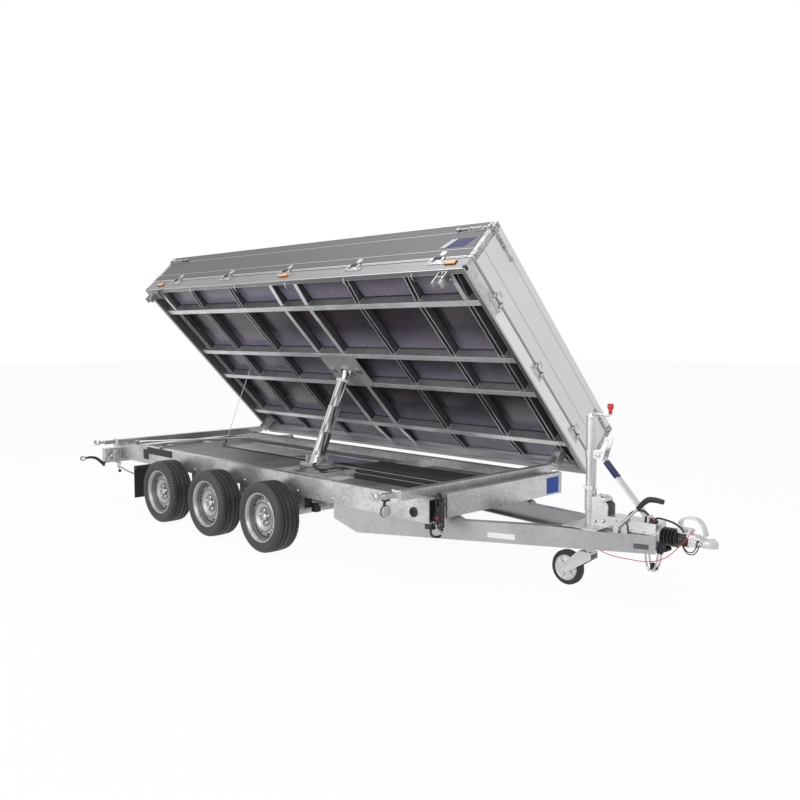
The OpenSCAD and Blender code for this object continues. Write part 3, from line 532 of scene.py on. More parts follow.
piece("barrel_gland", [(on_ram(p), f)], bright_steel("gland_steel", 0.62, 0.3, metallic=0.8), "ram_barrel", smooth=40)
feet = [hex_bolt((235 + s * 98, y, 514.4), "z", 9, 9) for s in (-1, 1) for y in (-24, 24)]
feet += [turned([(13, 0), (13, s * 6), (8, s * 9), (1, s * 9)], (235 + s * 75, 0, 545), "x", 24) for s in (-1, 1)]
feet += [plate([(235 + s * 80, -60, 506.3), (235 + s * 80, 60, 506.3), (235 + s * 80, 0, 560)], 8 * s, (1, 0, 0)) for s in (-1, 1)]
piece("cradle_fittings", feet, plated, "chassis", bevel=1)
pads = [block((x - 30, x + 30), (-24, 24), (694, 708)) for x in (70, 400)]
pads += [hex_bolt((x, y, 708), "z", 9, -8, 1) for x in (40, 430) for y in (-165, 165)]
shackle = [tube(eased([(308, 66, 700), (306, 40, 676), (302, 10, 672), (300, -10, 700)], 10), 7, 10), block((286, 322), (-4, 30), (690, 707))]
piece("plate_fittings", pads + shackle, plated, "bed", tip=True, bevel=1)


# Hydraulic unit: pump, valve block and motor painted black in the front corner, with a red relief
# knob, hoses down to the block and a steel guard wire.
dress(plain("unit_paint", (0.022, 0.022, 0.024), 0.3, bump=0.2), "hydraulic_unit")
unit = [turned([(14, 0), (20, 3), (20, 10), (14, 13), (1, 13)], (2195 - 12, y, z), "x", 20) for y, z in [(-612, 490), (-565, 515), (-590, 372)]]
unit += [block((2186, 2200 - 6), (-630, -596), (392, 470)), turned([(26, 0), (29, 6), (29, 26), (24, 32), (1, 32)], (2172, -565, 500), "z", 24)]
piece("unit_fittings", unit, plain("unit_caps", (0.03, 0.03, 0.032), 0.35), "chassis", bevel=1)
piece("relief_knob", [turned([(9, 0), (12, 3), (12, 12), (8, 15), (1, 15)], (2180, -622, 437), "x", 20)], red_cover, "chassis")
piece("unit_clips", [block((2188, 2194.5), (-607, -580), (360, 392)), tube(eased([(2190, -628, 395), (2192, -622, 360), (2192, -590, 330), (2192, -560, 322), (2190, -545, 340)], 14), 5, 8),
      tube(np.linspace((2193, -548, 348), (2193, -548, 540), 3), 3, 8), block((2184, 2193), (-574, -552), (328, 342))], plated, "chassis")
cable("return_hose", [(2150, -626, 372), (2154, -640, 345), (2160, -632, 318), (2168, -600, 306), (2176, -570, 312), (2178, -560, 345), (2176, -560, 372)],
      8, black_rubber)
cable("feed_hose", [(2178, -604, 470), (2190 - 3, -596, 520), (2186, -590, 548), (2184, -578, 560), (2180, -566, 548), (2176, -562, 530)], 7, black_rubber, count=24)


# Blank plates: thin enamelled aluminium and film, riveted or stuck on: blue on the front beam,
# white on the right arm, all left without words.
def film(name, colour, rough=0.3):
    """Even printed film under a clear coat."""
    finish = plain(name, colour, rough, spread=0.02, scale=4, bump=0.0)
    finish.node_tree.nodes["Principled BSDF"].inputs["Specular IOR Level"].default_value = 0.25
    return finish


blue_film, navy_film, white_film = film("blue_film", (0.02, 0.085, 0.42)), film("navy_film", (0.010, 0.010, 0.095)), film("white_film", (0.86, 0.86, 0.87))
piece("beam_plate", [block((2195, 2196.2), (553, 700), (434, 552))], blue_film, "chassis", bevel=0.4)
arm_away, arm_out = np.array([-0.9588, -0.2839, 0]), np.array([0.2839, -0.9588, 0])
on_arm = [np.array([3404, -56, 0]) + arm_away * d + (0, 0, z) for d, z in [(873, 304), (1060, 301), (1060, 335), (873, 338)]]
piece("arm_sticker", [plate(on_arm, 0.8, arm_out)], white_film, "chassis")
small = [np.array([3404, -56, 0]) + arm_away * d + (0, 0, z) for d, z in [(40, 342), (128, 341), (128, 372), (40, 373)]]
piece("arm_small_plate", [plate(small, 0.8, arm_out)], film("grey_film", (0.11, 0.11, 0.115)), "chassis")


# Rear lighting: rubber horns that carry a clear and red marker lens, dark lamp boxes with red and
# amber lenses, a parking leg's lever and the spring pins of the tipping balls.
red_lens = plain("red_lens", (0.55, 0.01, 0.01), 0.15, bump=0.0, coat=0.5)
amber_lens = plain("amber_lens", (0.86, 0.30, 0.02), 0.18, spread=0.1, scale=300, bump=0.0, coat=0.5)
clear_lens = plain("clear_lens", (0.80, 0.82, 0.84), 0.12, bump=0.0, coat=0.5)
horns, reds, clears, ambers, boxes = [], [], [], [], []
for s in (-1, 1):
    route = eased([(-1915, s * 853, 362), (-1914, s * 880, 384), (-1914, s * 930, 426), (-1915, s * 985, 441), (-1915, s * 1040, 438)], 22)
    horns.append(tube(route, np.linspace(17, 10, 22), 14))
    horns.append(turned([(10, -11), (23, -9), (24, 0), (23, 9), (10, 11)], (-1915, s * 1060, 437), "x", 26))
    horns.append(block((-1930, -1898), (s * 853, s * 866), (346, 384)) if s > 0 else block((-1930, -1898), (-866, -853), (346, 384)))
    clears.append(turned([(20, 9), (18, 16), (10, 20), (1, 21)], (-1915, s * 1060, 437), "x", 24))
    reds.append(turned([(20, -9), (18, -16), (10, -20), (1, -21)], (-1915, s * 1060, 437), "x", 24))
    lo, hi = sorted([s * 618, s * 826])
    reds.append(block((-1949.5, -1945), (lo, lo + 95) if s > 0 else (hi - 95, hi), (408, 484)))
    ambers.append(block((-1949.5, -1945), (lo + 100, hi) if s > 0 else (lo, hi - 100), (408, 484)))
    boxes.append(block((-1946, -1890), (lo - 6, hi + 6), (400, 492)))
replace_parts(piece("lamp_horns", horns, black_rubber, "chassis", smooth=50), "marker_lamps")
piece("lamp_boxes", boxes, box_black, "chassis", bevel=2)
piece("marker_lenses_clear", clears, clear_lens, "chassis", smooth=60)
piece("lenses_red", reds, red_lens, "chassis", bevel=1.5, smooth=60)
piece("lenses_amber", ambers, amber_lens, "chassis", bevel=1.5)
round_lamp = [turned([(38, -3), (37, 6), (30, 12), (12, 15), (1, 16)], (2040, -926, 501), "x", 30)]
piece("front_lamp", round_lamp, plain("grey_lens", (0.42, 0.43, 0.44), 0.18, spread=0.3, scale=120, bump=0.05, coat=0.4), "chassis", smooth=60)
piece("front_lamp_holder", [turned([(30, -18), (40, -12), (40, -2), (30, -2)], (2040, -926, 501), "x", 30), tube(eased([(2036, -930, 520), (2037, -938, 545), (2040, -932, 566), (2040, -920, 579)], 10), 9, 10),
      block((2024, 2056), (-950, -906), (566, 580))], black_rubber, "chassis", bevel=0.6)
plate_steel = zinc("rear_plate_zinc", light=0.52, cloud=0.24, spangle=140, rough=0.32, metallic=0.75, patch=24)
lever = [tube(eased([(-1892, -723, 331), (-1900, -700, 322), (-1900, -620, 270), (-1899, -548, 233)], 12), 8, 10), tube(eased([(-1886, -722, 372), (-1888, -724, 350), (-1892, -723, 331)], 6), 8, 10),
         block((-1900, -1880), (-745, -700), (366, 410)), tube(np.linspace((-1860, -724, 300), (-1886, -722, 336), 4), 6, 8)]
piece("parking_lever", lever, plated, "chassis")
brackets = []
for hand in (-1, 1):
    for x, y, z, size in [(-1862, 838, 485, 9), (-1862, 838, 410, 9), (-1862, 770, 485, 8), (-1862, 770, 410, 8)]:
        brackets.append(hex_bolt((x, hand * y, z), "x", size, 8, 1))
    brackets += [block((-1864, -1856), sorted([hand * 762, hand * 790]), (396, 508)), block((-1864, -1826), sorted([hand * 724, hand * 730]), (350, 500)),
                 block((-1864, -1822), sorted([hand * 724, hand * 768]), (388, 394)), turned([(13, 0), (15, 3), (15, 20), (11, 24), (1, 24)], (-1862, hand * 806, 447), "x", 20),
                 tube(eased([(-1850, hand * 806, 447), (-1842, hand * 790, 470), (-1838, hand * 766, 484), (-1836, hand * 738, 492)], 12), 4, 8)]
piece("rear_brackets", brackets, plate_steel, "chassis", bevel=0.8)
piece("lever_knob", [turned([(1, -16), (11, -12), (15, 0), (11, 12), (1, 16)], (-1850, -728, 292), "y", 20)], black_rubber, "chassis", smooth=60)
hoop = np.linspace(0, 2 * np.pi, 20)[:, None]
pins = []
for x in (2040, -1700):
    pins.append(tube(np.hstack([x + 16 * np.cos(hoop), np.full_like(hoop, -1046), 590 + 16 * np.sin(hoop)]), 2.4, 8))
    pins += [block((x - 5, x + 5), (-1048, -1035), (602, 624)), turned([(12, 0), (12, -5), (6, -8), (1, -8)], (x, -1035, 600), "y", 6)]
piece("ball_pins", pins, plated, "chassis")
dress(plain("flap_rubber", (0.016, 0.016, 0.017), 0.6), "mud_flaps")


# Bed frame: four long folded channels with lower flanges, eight cross channels open below with thin rolled lips, coped
# and welded where they meet; the two by the ram are closed. One zinc is given in three greys by how light falls:
# painted shade on the channel sides, deeper painted shade on the cross channels' webs, and painted highlight on the
# flanges, lips and weld beads.
# Painted shade and painted highlight: darker copies of the zinc for faces in shade, a pale copy for edges catching
# light.
shade_zinc = zinc("frame_side_painted_shade", light=0.27, cloud=0.06, rough=0.45, metallic=0.5, patch=5)
web_painted_shade = zinc("frame_web_painted_shade", light=0.085, cloud=0.02, rough=0.5, metallic=0.3, patch=5)
lip_painted_highlight = zinc("frame_lip_painted_highlight", light=0.70, cloud=0.12, rough=0.35, metallic=0.6, patch=7)
run_x = (-1839.7, 2179.7)
longs, flanges, webs, lips, seams, junction_shade = [], [], [], [], [], []
for y in (-725, -176, 176, 725):
    cut = [(y - 25, 716), (y + 25, 716), (y + 25, 719), (y - 22, 719), (y - 22, 788), (y + 25, 788), (y + 25, 791.5), (y - 25, 791.5)]
    longs.append(skin(np.array([[(a, *p) for p in cut] for a in run_x], float)))
    flanges += [block((-1838, 2178), (y - 25, y - 13), (712.5, 716)), block((-1838, 2178), (y - 14, y + 25), (714, 716))]
    # Painted shade: black strips along the bed floor where it meets the beams and cross channels.
    junction_shade.append(block(run_x, (y - 31, y - 25), (786, 791.7)))
    longs.append(block((run_x[0], run_x[0] + 4), (y - 24, y + 25), (719, 788)))
    longs.append(block((run_x[1] - 4, run_x[1]), (y - 24, y + 25), (719, 788)))
closed = (0, 330)
for x in (-1700, -1220, -590, 0, 330, 950, 1585, 2040):
    for a, b in [(-22, -19), (19, 22)]:
        webs.append(block((x + a, x + b), (-749, 749), (731, 791.5)))
        for s in (-1, 1):
            webs.append(plate([(x + a, s * 749, 732), (x + a, s * 1006, 766), (x + a, s * 1006, 791.5), (x + a, s * 749, 791.5)], 3, (1, 0, 0)))
    strips = [(-22, 22)] if x in closed else [(-23, -17), (17, 23)]
    for a, b in strips:
        lips.append(block((x + a, x + b), (-749, 749), (728, 731)))
        for s in (-1, 1):
            lips.append(plate([(x + a, s * 749, 729), (x + b, s * 749, 729), (x + b, s * 1006, 763), (x + a, s * 1006, 763)], 3, (0, 0, 1)))
    junction_shade.append(block((x + 22, x + 28), (-1006, 1006), (786, 791.7)))
    for y in (-725, -176, 176, 725):
        seams.append(tube([(x + 24, y - 27, 722), (x + 24, y - 27, 790)], 3, 6))
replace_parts(piece("frame_channels", longs, shade_zinc, "bed", tip=True), "bed_beams")
piece("frame_flanges", flanges, lip_painted_highlight, "bed", tip=True, bevel=1)
piece("frame_cross_webs", webs, web_painted_shade, "bed", tip=True)
piece("frame_lips", lips, lip_painted_highlight, "bed", tip=True)
piece("frame_seams", seams, lip_painted_highlight, "bed", tip=True)
piece("floor_junction_shade", junction_shade, black_rubber, "bed", tip=True)


# Floor: birch board with a dark violet brown film, screwed to the frame; on its lower face soft pale zones across the
# bed are painted into the film's colour, a painted reflection of the light from the ground.
film_floor = plain("floor_film", (0.030, 0.021, 0.030), 0.24, scale=11, bump=0.0, spread=0.3)
tree = film_floor.node_tree
place, turn, axes, across, painted_reflection_bands, mix = [tree.nodes.new("ShaderNode" + kind) for kind in ("TexCoord", "Mapping", "SeparateXYZ", "MapRange", "ValToRGB", "Mix")]
turn.inputs["Location"].default_value = (0, -0.69960951, -0.6); turn.vector_type = "POINT"
tree.links.new(place.outputs["Object"], turn.inputs[0])
swing = tree.nodes.new("ShaderNodeMapping"); swing.inputs["Rotation"].default_value = (tilt, 0, 0)
tree.links.new(turn.outputs[0], swing.inputs[0]); tree.links.new(swing.outputs[0], axes.inputs[0])
below = tree.nodes.new("ShaderNodeMapRange"); below.inputs[1].default_value = 0.1985; below.inputs[2].default_value = 0.1980
tree.links.new(axes.outputs[2], below.inputs[0])
tree.links.new(axes.outputs[1], across.inputs[0]); across.inputs[1].default_value = -1.894; across.inputs[2].default_value = 0.190
tree.links.new(across.outputs[0], painted_reflection_bands.inputs[0])
# Painted reflection: pale violet zones in the film's colour, set by place across the bed.
spots = [(y + 1042) / 2084 for y in (-1007, -830, -750, -690, -420, -215, -140, 40, 150, 210, 480, 695, 765, 830)]
steps = painted_reflection_bands.color_ramp.elements
for at in spots[2:]:
    steps.new(at)
for k, at in enumerate(spots):
    steps[k].position = at
    pale = (0, 0.75, 0.8, 0, 0.08, 0.85, 0, 0.4, 0.85, 0, 0.08, 0.85, 0, 0.9)[k]
    steps[k].color = (0.026 + 0.26 * pale, 0.017 + 0.24 * pale, 0.024 + 0.31 * pale, 1)
mix.data_type = "RGBA"; mix.blend_type = "MULTIPLY"; mix.inputs[0].default_value = 0.35
tree.links.new(painted_reflection_bands.outputs[0], mix.inputs[6]); tree.links.new(tree.nodes["Noise Texture"].outputs[0], mix.inputs[7])
either = tree.nodes.new("ShaderNodeMix"); either.data_type = "RGBA"
tree.links.new(below.outputs[0], either.inputs[0]); tree.links.new(tree.nodes["Color Ramp"].outputs[0], either.inputs[6]); tree.links.new(mix.outputs[2], either.inputs[7])
tree.links.new(either.outputs[2], tree.nodes["Principled BSDF"].inputs["Base Color"])
dress(film_floor, "bed_floor")
dress(zinc("bracket_zinc", light=0.55, cloud=0.14, rough=0.3, metallic=0.8), "ball_brackets")
cups = []
for x in (2040, -1700):
    bow = np.radians(np.linspace(36, 128, 14))
    arc = np.concatenate([[(-1010 + 46 * math.cos(a), 600 + 46 * math.sin(a)) for a in bow], [(-1010 + 41 * math.cos(a), 600 + 41 * math.sin(a)) for a in bow[::-1]]])
    cups += [skin(np.array([[(x + dx, *p) for p in arc] for dx in (-29, 29)]))]
    cups += [block((x - 20, x + 20), (-1000, -740), (722, 728)), plate([(x - 3, -1036, 660), (x - 3, -960, 660), (x - 3, -900, 722), (x - 3, -1036, 722)], 6, (1, 0, 0))]
    cups += [hex_bolt((x + dx, -1000 + dy, 684), "z", 9, -9, 1) for dx in (-26, 26) for dy in (0, 30)]
piece("ball_cups", cups, bright_steel("cup_cast", 0.62, 0.32, metallic=0.7), "bed", tip=True, bevel=1.5)
hooks = []
for x in (-1650, -1050, -350, 350, 1050, 1750):
    hooks.append(tube(eased([(x, -1030, 692), (x, -1030, 676), (x + 2, -1016, 664), (x + 3, -992, 664), (x + 4, -968, 678), (x + 4, -964, 690)], 14), 4.5, 8))
piece("rope_hooks", hooks, plated, "bed", tip=True)


# Edge frame: a drawn aluminium hollow rail with a rolled lip above and below on each side, and zinc dipped posts
# standing at its corners. The lips get a paler copy of the rail's aluminium, a painted highlight.
def drawn_aluminium(name, light, stretch, rough=0.36, metallic=0.65, swing=0.03):
    """Draw lines: noise stretched along the plank, in colour and in gloss."""
    finish = bpy.data.materials.new(name); finish.use_nodes = True
    tree = finish.node_tree; shader = tree.nodes["Principled BSDF"]
    place = tree.nodes.new("ShaderNodeTexCoord")
    turn = tree.nodes.new("ShaderNodeMapping"); turn.inputs["Scale"].default_value = stretch
    tree.links.new(place.outputs["Object"], turn.inputs[0])
    lines = tree.nodes.new("ShaderNodeTexNoise"); lines.inputs["Scale"].default_value = 1.0; lines.inputs["Detail"].default_value = 4
    tree.links.new(turn.outputs[0], lines.inputs["Vector"])
    ramp = tree.nodes.new("ShaderNodeValToRGB"); tree.links.new(lines.outputs[0], ramp.inputs[0])
    low, high = ramp.color_ramp.elements
    low.position, high.position = 0.3, 0.7
    low.color = (light - swing, light - swing, light - swing + 0.004, 1)
    high.color = (light + swing, light + swing, light + swing + 0.006, 1)
    tree.links.new(ramp.outputs[0], shader.inputs["Base Color"])
    dull = tree.nodes.new("ShaderNodeMapRange"); tree.links.new(lines.outputs[0], dull.inputs[0])
    dull.inputs[3].default_value = rough - 0.06; dull.inputs[4].default_value = rough + 0.10
    tree.links.new(dull.outputs[0], shader.inputs["Roughness"])
    shader.inputs["Metallic"].default_value = metallic
    return finish


dress(drawn_aluminium("edge_aluminium", 0.27, (1.5, 40, 40), metallic=0.75), "bed_raves")
dress(zinc("post_zinc", light=0.46, cloud=0.20, spangle=90, rough=0.34, metallic=0.6, patch=26), "corner_posts")
lip_bright = drawn_aluminium("lip_aluminium", 0.62, (1.5, 60, 60), rough=0.3)
edges = []
for s in (-1, 1):
    y = (1042, 1045) if s > 0 else (-1045, -1042)
    edges += [block((-1872, 2212), y, (690.5, 697)), block((-1872, 2212), y, (803, 809.5))]
    x = (2215, 2218) if s > 0 else (-1878, -1875)
    edges += [block(x, (-1040, 1040), (690.5, 698)), block(x, (-1040, 1040), (803, 809.5))]
piece("edge_lips", edges, lip_bright, "bed", tip=True, bevel=1)
# Painted shade: thin black strips in the edge frame's slots and recesses.
piece("edge_slots", [block((2215, 2216), (-1030, 1030), (797.5, 802.5)), block((2215, 2216.2), (-1000, 1000), (811, 816)), block((2215, 2216), (-857, -762), (753, 767)), block((2215, 2216), (-700, 700), (724, 727)), block((2190, 2217), (-1043, -1008), (696, 726)),
      block((-1877, -1852), (-1043, -1008), (696, 726)), block((-1860, 2200), (-1043, -1042), (799, 802))], box_black, "bed", tip=True)
front_film = zinc("front_edge_zinc", light=0.60, cloud=0.16, rough=0.4, metallic=0.5, patch=9)
front_pale = drawn_aluminium("front_edge_pale", 0.88, (60, 1.5, 60), rough=0.4, metallic=0.4)
piece("edge_inner_skin", [block((-1838, 2178), sorted([s * 1003, s * 1006.7]), (692, 786)) for s in (-1, 1)], drawn_aluminium("inner_edge_aluminium", 0.66, (1.6, 30, 30), rough=0.30, metallic=0.55, swing=0.33), "bed", tip=True)
piece("front_edge_skin", [block((2214.8, 2216.4), (-1036, -600), (704, 796))], front_film, "bed", tip=True)
piece("front_edge_band", [block((2214.8, 2216.4), (-600, 1036), (704, 796))], front_pale, "bed", tip=True)


# Boards: hollow drawn aluminium planks slid together, their joints showing as fine painted shadow lines, with end caps;
# one aluminium, painted darker on the side boards as painted shade and paler on the front and tail boards as painted
# light; a navy film and its stripes lie on the right one.
# Painted shade on the side boards' aluminium and painted light on the front and tail boards' aluminium.
side_alu = drawn_aluminium("side_plank", 0.125, (1.5, 260, 260), rough=0.42, metallic=0.75, swing=0.010)
dress(side_alu, "right_board", "left_board")
dress(drawn_aluminium("end_plank", 0.79, (260, 2, 3), rough=0.5, metallic=0.45, swing=0.02), "front_board", "tail_board")
grey_line = plain("joint_shadow", (0.10, 0.10, 0.105), 0.5, bump=0.0)
for name, s in (("right", -1), ("left", 1)):
    y = sorted([s * 1042, s * 1042.8])
    # Painted highlight: pale lines at the plank joints and along the board's top and foot, beside the painted shadow
    # lines.
    bright_lines = [block((-1827, 2167), y, (z, z + 3.5)) for z in (895, 1079)] + [block((-1829, 2169), sorted([s * 1018, s * 1043.5]), (1160, 1164)), block((-1829, 2169), y, (817, 824))]
    piece(f"{name}_board_joints", bright_lines, lip_bright, f"{name}_board", tip=True)
    piece(f"{name}_board_shadows", [block((-1827, 2167), y, (z - 2, z)) for z in (895, 1079)], grey_line, f"{name}_board", tip=True)
for name, x in (("front", (2215, 2215.7)), ("tail", (-1875.7, -1875))):
    piece(f"{name}_board_joints", [block(x, (-994, 994), (z, z + 2.2)) for z in (928, 1106)], grey_line, f"{name}_board", tip=True)


def stripe(a, b):
    """A slanted band on the right board from a to b at its foot, its head 62 mm further forward."""
    return plate([(a, -1042.8, 924), (b, -1042.8, 924), (b + 62, -1042.8, 1009), (a + 62, -1042.8, 1009)], 0.5, (0, -1, 0))


piece("board_plate", [stripe(1904, 2068), stripe(1866, 1873), stripe(1884, 1893)], navy_film, "right_board", tip=True)
piece("board_stripes", [stripe(1873, 1884), stripe(1893, 1904), stripe(1857, 1866)], white_film, "right_board", tip=True)


# Hinges and catches: forged and pressed steel, bright plated, bolted to the edge frame and boards:
# leaf and knuckles below, strap above, and over each post a toggle with its hook and handle.
hinge_x = [-1432, -599, 234, 1067, 1900]
for name, s in (("right", -1), ("left", 1)):
    leaf, strap = [], []
    for x in hinge_x:
        leaf += [block((x - 52, x + 112), sorted([s * 1042, s * 1047]), (752, 792)), block((x - 30, x - 8), sorted([s * 1042, s * 1058]), (776, 806)),
                 block((x + 68, x + 90), sorted([s * 1042, s * 1058]), (776, 806))]
        leaf += [hex_bolt((x + dx, s * 1047, 768), "y", size, 6, s) for dx, size in ((-38, 8), (30, 5), (98, 8))]
        strap += [block((x + 6, x + 54), sorted([s * 1042, s * 1044.5]), (834, 884)), hex_bolt((x + 14, s * 1044.5, 848), "y", 5, 3, s), hex_bolt((x + 46, s * 1044.5, 848), "y", 5, 3, s)]
    piece(f"{name}_hinge_leaves", leaf, plated, "bed", tip=True, bevel=1.5)
    piece(f"{name}_hinge_straps", strap, plated, f"{name}_board", tip=True, bevel=1.2)
for name, x, s in (("front", 2215, 1), ("tail", -1875, -1)):
    leaf, strap = [], []
    for y in (-700, -30, 640):
        leaf += [block(sorted([x, x + s * 5]), (y - 48, y + 108), (752, 792)), block(sorted([x, x + s * 15]), (y - 28, y - 8), (776, 806)), block(sorted([x, x + s * 15]), (y + 68, y + 88), (776, 806))]
        leaf += [hex_bolt((x + s * 5, y + dy, 768), "x", size, 6, s) for dy, size in ((-34, 8), (30, 5), (94, 8))]
        strap += [block(sorted([x, x + s * 2.5]), (y + 6, y + 54), (834, 868)), *[hex_bolt((x + s * 2.5, y + dy, 848), "x", 5, 3, s) for dy in (14, 46)]]
    piece(f"{name}_hinge_leaves", leaf, plated, "bed", tip=True, bevel=1.5)
    piece(f"{name}_hinge_straps", strap, plated, f"{name}_board", tip=True, bevel=1.2)


def catch(at, along, out, length):
    """A toggle catch in its own axes: a toothed base, a long handle bent up at its end and a hook rod; u runs along the board, v out of it, w up."""
    bars = [((0, length * 0.55), (0, 6), (-16, 16)), ((length * 0.10, length * 0.5), (6, 14), (-9, 9)), ((length * 0.45, length), (4, 13), (-5, 5)), ((length * 0.88, length), (4, 18), (-10, 10)),
            ((-42, 12), (3, 12), (-7, 7)), ((-54, -36), (0, 20), (-15, 15))]
    shapes = []
    for u, v, w in bars:
        p, f = block(u, v, w)
        shapes.append((np.asarray(at, float) + p[:, :1] * along + p[:, 1:2] * out + p[:, 2:] * np.array([0, 0, 1.0]), f))
    for u in (length * 0.14, length * 0.3, length * 0.46):
        p, f = turned([(9, 6), (9, 17), (5, 20), (1, 20)], (0, 0, 0), "z", 10)
        shapes.append((np.asarray(at, float) + (p[:, :1] + u) * along + p[:, 2:] * out + p[:, 1:2] * np.array([0, 0, 1.0]), f))
    return shapes


catch_steel = zinc("catch_steel", light=0.42, cloud=0.26, spangle=160, rough=0.3, metallic=0.8, patch=60)
for name, s in (("right", -1), ("left", 1)):
    shapes = []
    for x, way in ((2150, -1), (-1812, 1)):
        shapes += catch((x, s * 1042, 1100), np.array([way, 0, 0.0]), np.array([0, s, 0.0]), 250)
    piece(f"{name}_board_catches", shapes, catch_steel, f"{name}_board", tip=True, bevel=1.2)
for name, x, s in (("front", 2215, 1), ("tail", -1875, -1)):
    shapes = []
    for side in (-1, 1):
        shapes += catch((x, side * 978, 1098), np.array([0, -side, 0.0]), np.array([s * 0.8, 0, 0.0]), 225)
    piece(f"{name}_board_catches", shapes, catch_steel, f"{name}_board", tip=True, bevel=1.2)
corners = []
for x, sx in ((2215, 1), (-1875, -1)):
    for sy in (-1, 1):
        corners += [block(sorted([x - sx * 58, x + sx * 6]), sorted([sy * 984, sy * 1048]), (1120, 1128)), block(sorted([x - sx * 44, x + sx * 5]), sorted([sy * 1042, sy * 1047]), (1072, 1157)),
                    block(sorted([x, x + sx * 5]), sorted([sy * 998, sy * 1043]), (1072, 1162)), block(sorted([x - sx * 34, x + sx * 3]), sorted([sy * 1042, sy * 1045]), (830, 900)),
                    block(sorted([x, x + sx * 3]), sorted([sy * 1006, sy * 1042]), (830, 900))]
        corners += [hex_bolt((x - sx * 20, sy * 1047, z), "y", 8, 6, sy) for z in (1092, 1144)] + [hex_bolt((x + sx * 5, sy * 1020, z), "x", 8, 6, sx) for z in (1088, 1148)]
piece("post_caps", corners, catch_steel, "bed", tip=True, bevel=1.2)
dress(amber_lens, "side_lamps")
bezels = []
for x in (-1654, 275, 2063):
    for s in (-1, 1):
        y = sorted([s * 1042, s * 1046])
        bezels += [block((x - 50, x + 50), y, (739, 743)), block((x - 50, x + 50), y, (773, 777)), block((x - 50, x - 45), y, (739, 777)), block((x + 45, x + 50), y, (739, 777))]
piece("lamp_bezels", bezels, box_black, "bed", tip=True)


# Drawbar fittings: gusset and seat plates with a roller, rod holes, bolts and the lens shaped cut in the near arm's top
# flange, drawn as a black plate of painted shade; bright zinc, welded and bolted to the arms.
plate_zinc = zinc("plate_zinc", light=0.58, cloud=0.09, spangle=120, rough=0.32, metallic=0.8)
dress(plate_zinc, "drawbar_plates", "column_brace", "coupling_housing")
fit = [hex_bolt((3006 + dx, s * 54, z), "y", 8, 6, s) for s in (-1, 1) for dx, z in ((-20, 450), (40, 460), (96, 440))]
fit += [turned([(9, -48), (15, -46), (15, 46), (9, 48)], (3040, 0, 588), "y", 20), turned([(7, -58), (7, 58)], (3040, 0, 588), "y", 12)]
fit += [block((2978, 3040), (-30, 30), (604, 612)), hex_bolt((2995, 0, 612), "z", 10, 8)]
fit += [turned([(18, s * 26), (20, s * 30), (20, s * 36), (10, s * 40), (1, s * 40)], (2990, 0, 862), "y", 6) for s in (-1, 1)]
fit += [plate([(2958, s * 27, 836), (3020, s * 27, 826), (3062, s * 27, 962), (3040, s * 27, 976), (3010, s * 27, 900), (2960, s * 27, 888)], 4 * s, (0, 1, 0)) for s in (-1, 1)]
fit += [turned([(8, s * 31), (8, s * 38), (1, s * 38)], (x, 0, z), "y", 6) for s in (-1, 1) for x, z in ((3046, 958), (3012, 880))]
fit += [block((3286, 3352), (-36, 36), (511.5, 516)), *[hex_bolt((x, y, 516), "z", 8, 6) for x in (3298, 3340) for y in (-24, 24)]]
piece("drawbar_fittings", fit, bright_steel("fitting_zinc", 0.60, 0.34, metallic=0.75), "chassis", bevel=1.2)
brace_run = np.array([3322 - 2984, 0, 503 - 861.0]); brace_run /= np.linalg.norm(brace_run)
brace_out = np.array([0.7271, 0, 0.6865])
label = np.array([2984, 0, 868.0]) + brace_out * 8
piece("brace_plate", [plate([label + brace_run * a + (0, y, 0) for a, y in ((62, -27), (188, -27), (188, 27), (62, 27))], 1.2, brace_out)], navy_film, "chassis")
piece("brace_plate_side", [plate([np.array([2984, -26.3, 866]) + brace_run * a + brace_out * o for a, o in ((66, -6), (186, -6), (186, 8), (66, 8))], 0.8, (0, -1, 0))], navy_film, "chassis")
# Painted shade: black plates stand for the housing's window and the cut in the arm's flange.
windows = [block((3150, 3206), (-63.2, -62), (452, 478))]
on_top = [np.array([3404, -56, 0]) + arm_away * d - arm_out * (20 + w) + (0, 0, 421.4 - 0.0037 * d) for d, w in
          [(262, 0), (300, 9), (400, 15), (520, 15), (610, 9), (650, 0), (600, -6), (520, -9), (400, -9), (300, -5)]]
piece("housing_windows", windows + [plate(on_top, 0.8, (0, 0, 1)), block((3084, 3087), (-40, 40), (432, 470))], box_black, "chassis")
piece("housing_frames", [block((3144, 3212), (-65, -62), (446, 450)), block((3144, 3212), (-65, -62), (480, 484)), block((3144, 3148), (-65, -62), (446, 484)), block((3208, 3212), (-65, -62), (446, 484)),
      *[hex_bolt((x, -62, 446), "y", 8, 6, -1) for x in (3110, 3240, 3330, 3390)], block((3200, 3406), (-64, -62), (430, 434))], plate_zinc, "chassis", bevel=0.8)


# Hand brake: a bright steel rod from its pivot on the housing, with a black moulded grip bent
# level at its end, and a ratchet plate.
rod = eased([(3162, -84, 436), (3215, -84, 491), (3268, -84, 546), (3320, -84, 600)], 10)
grip = eased([(3300, -84, 580), (3330, -84, 612), (3352, -84, 632), (3377, -84, 644), (3420, -84, 646), (3462, -84, 641)], 20)
handle = piece("brake_rod", [tube(rod, 8, 12), turned([(18, -96), (20, -94), (20, -70), (16, -66)], (3160, 0, 434), "y", 24), plate([(3130, -70, 410), (3230, -70, 420), (3220, -70, 470), (3180, -70, 486), (3130, -70, 470)], 6, (0, -1, 0))],
               plated, "chassis", bevel=0.8)
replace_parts(handle, "handbrake_lever")
swell = 12 + 5 * np.sin(np.linspace(0.35, 2.6, 20))
piece("brake_grip", [tube(grip, swell, 16)], box_black, "chassis", smooth=60)


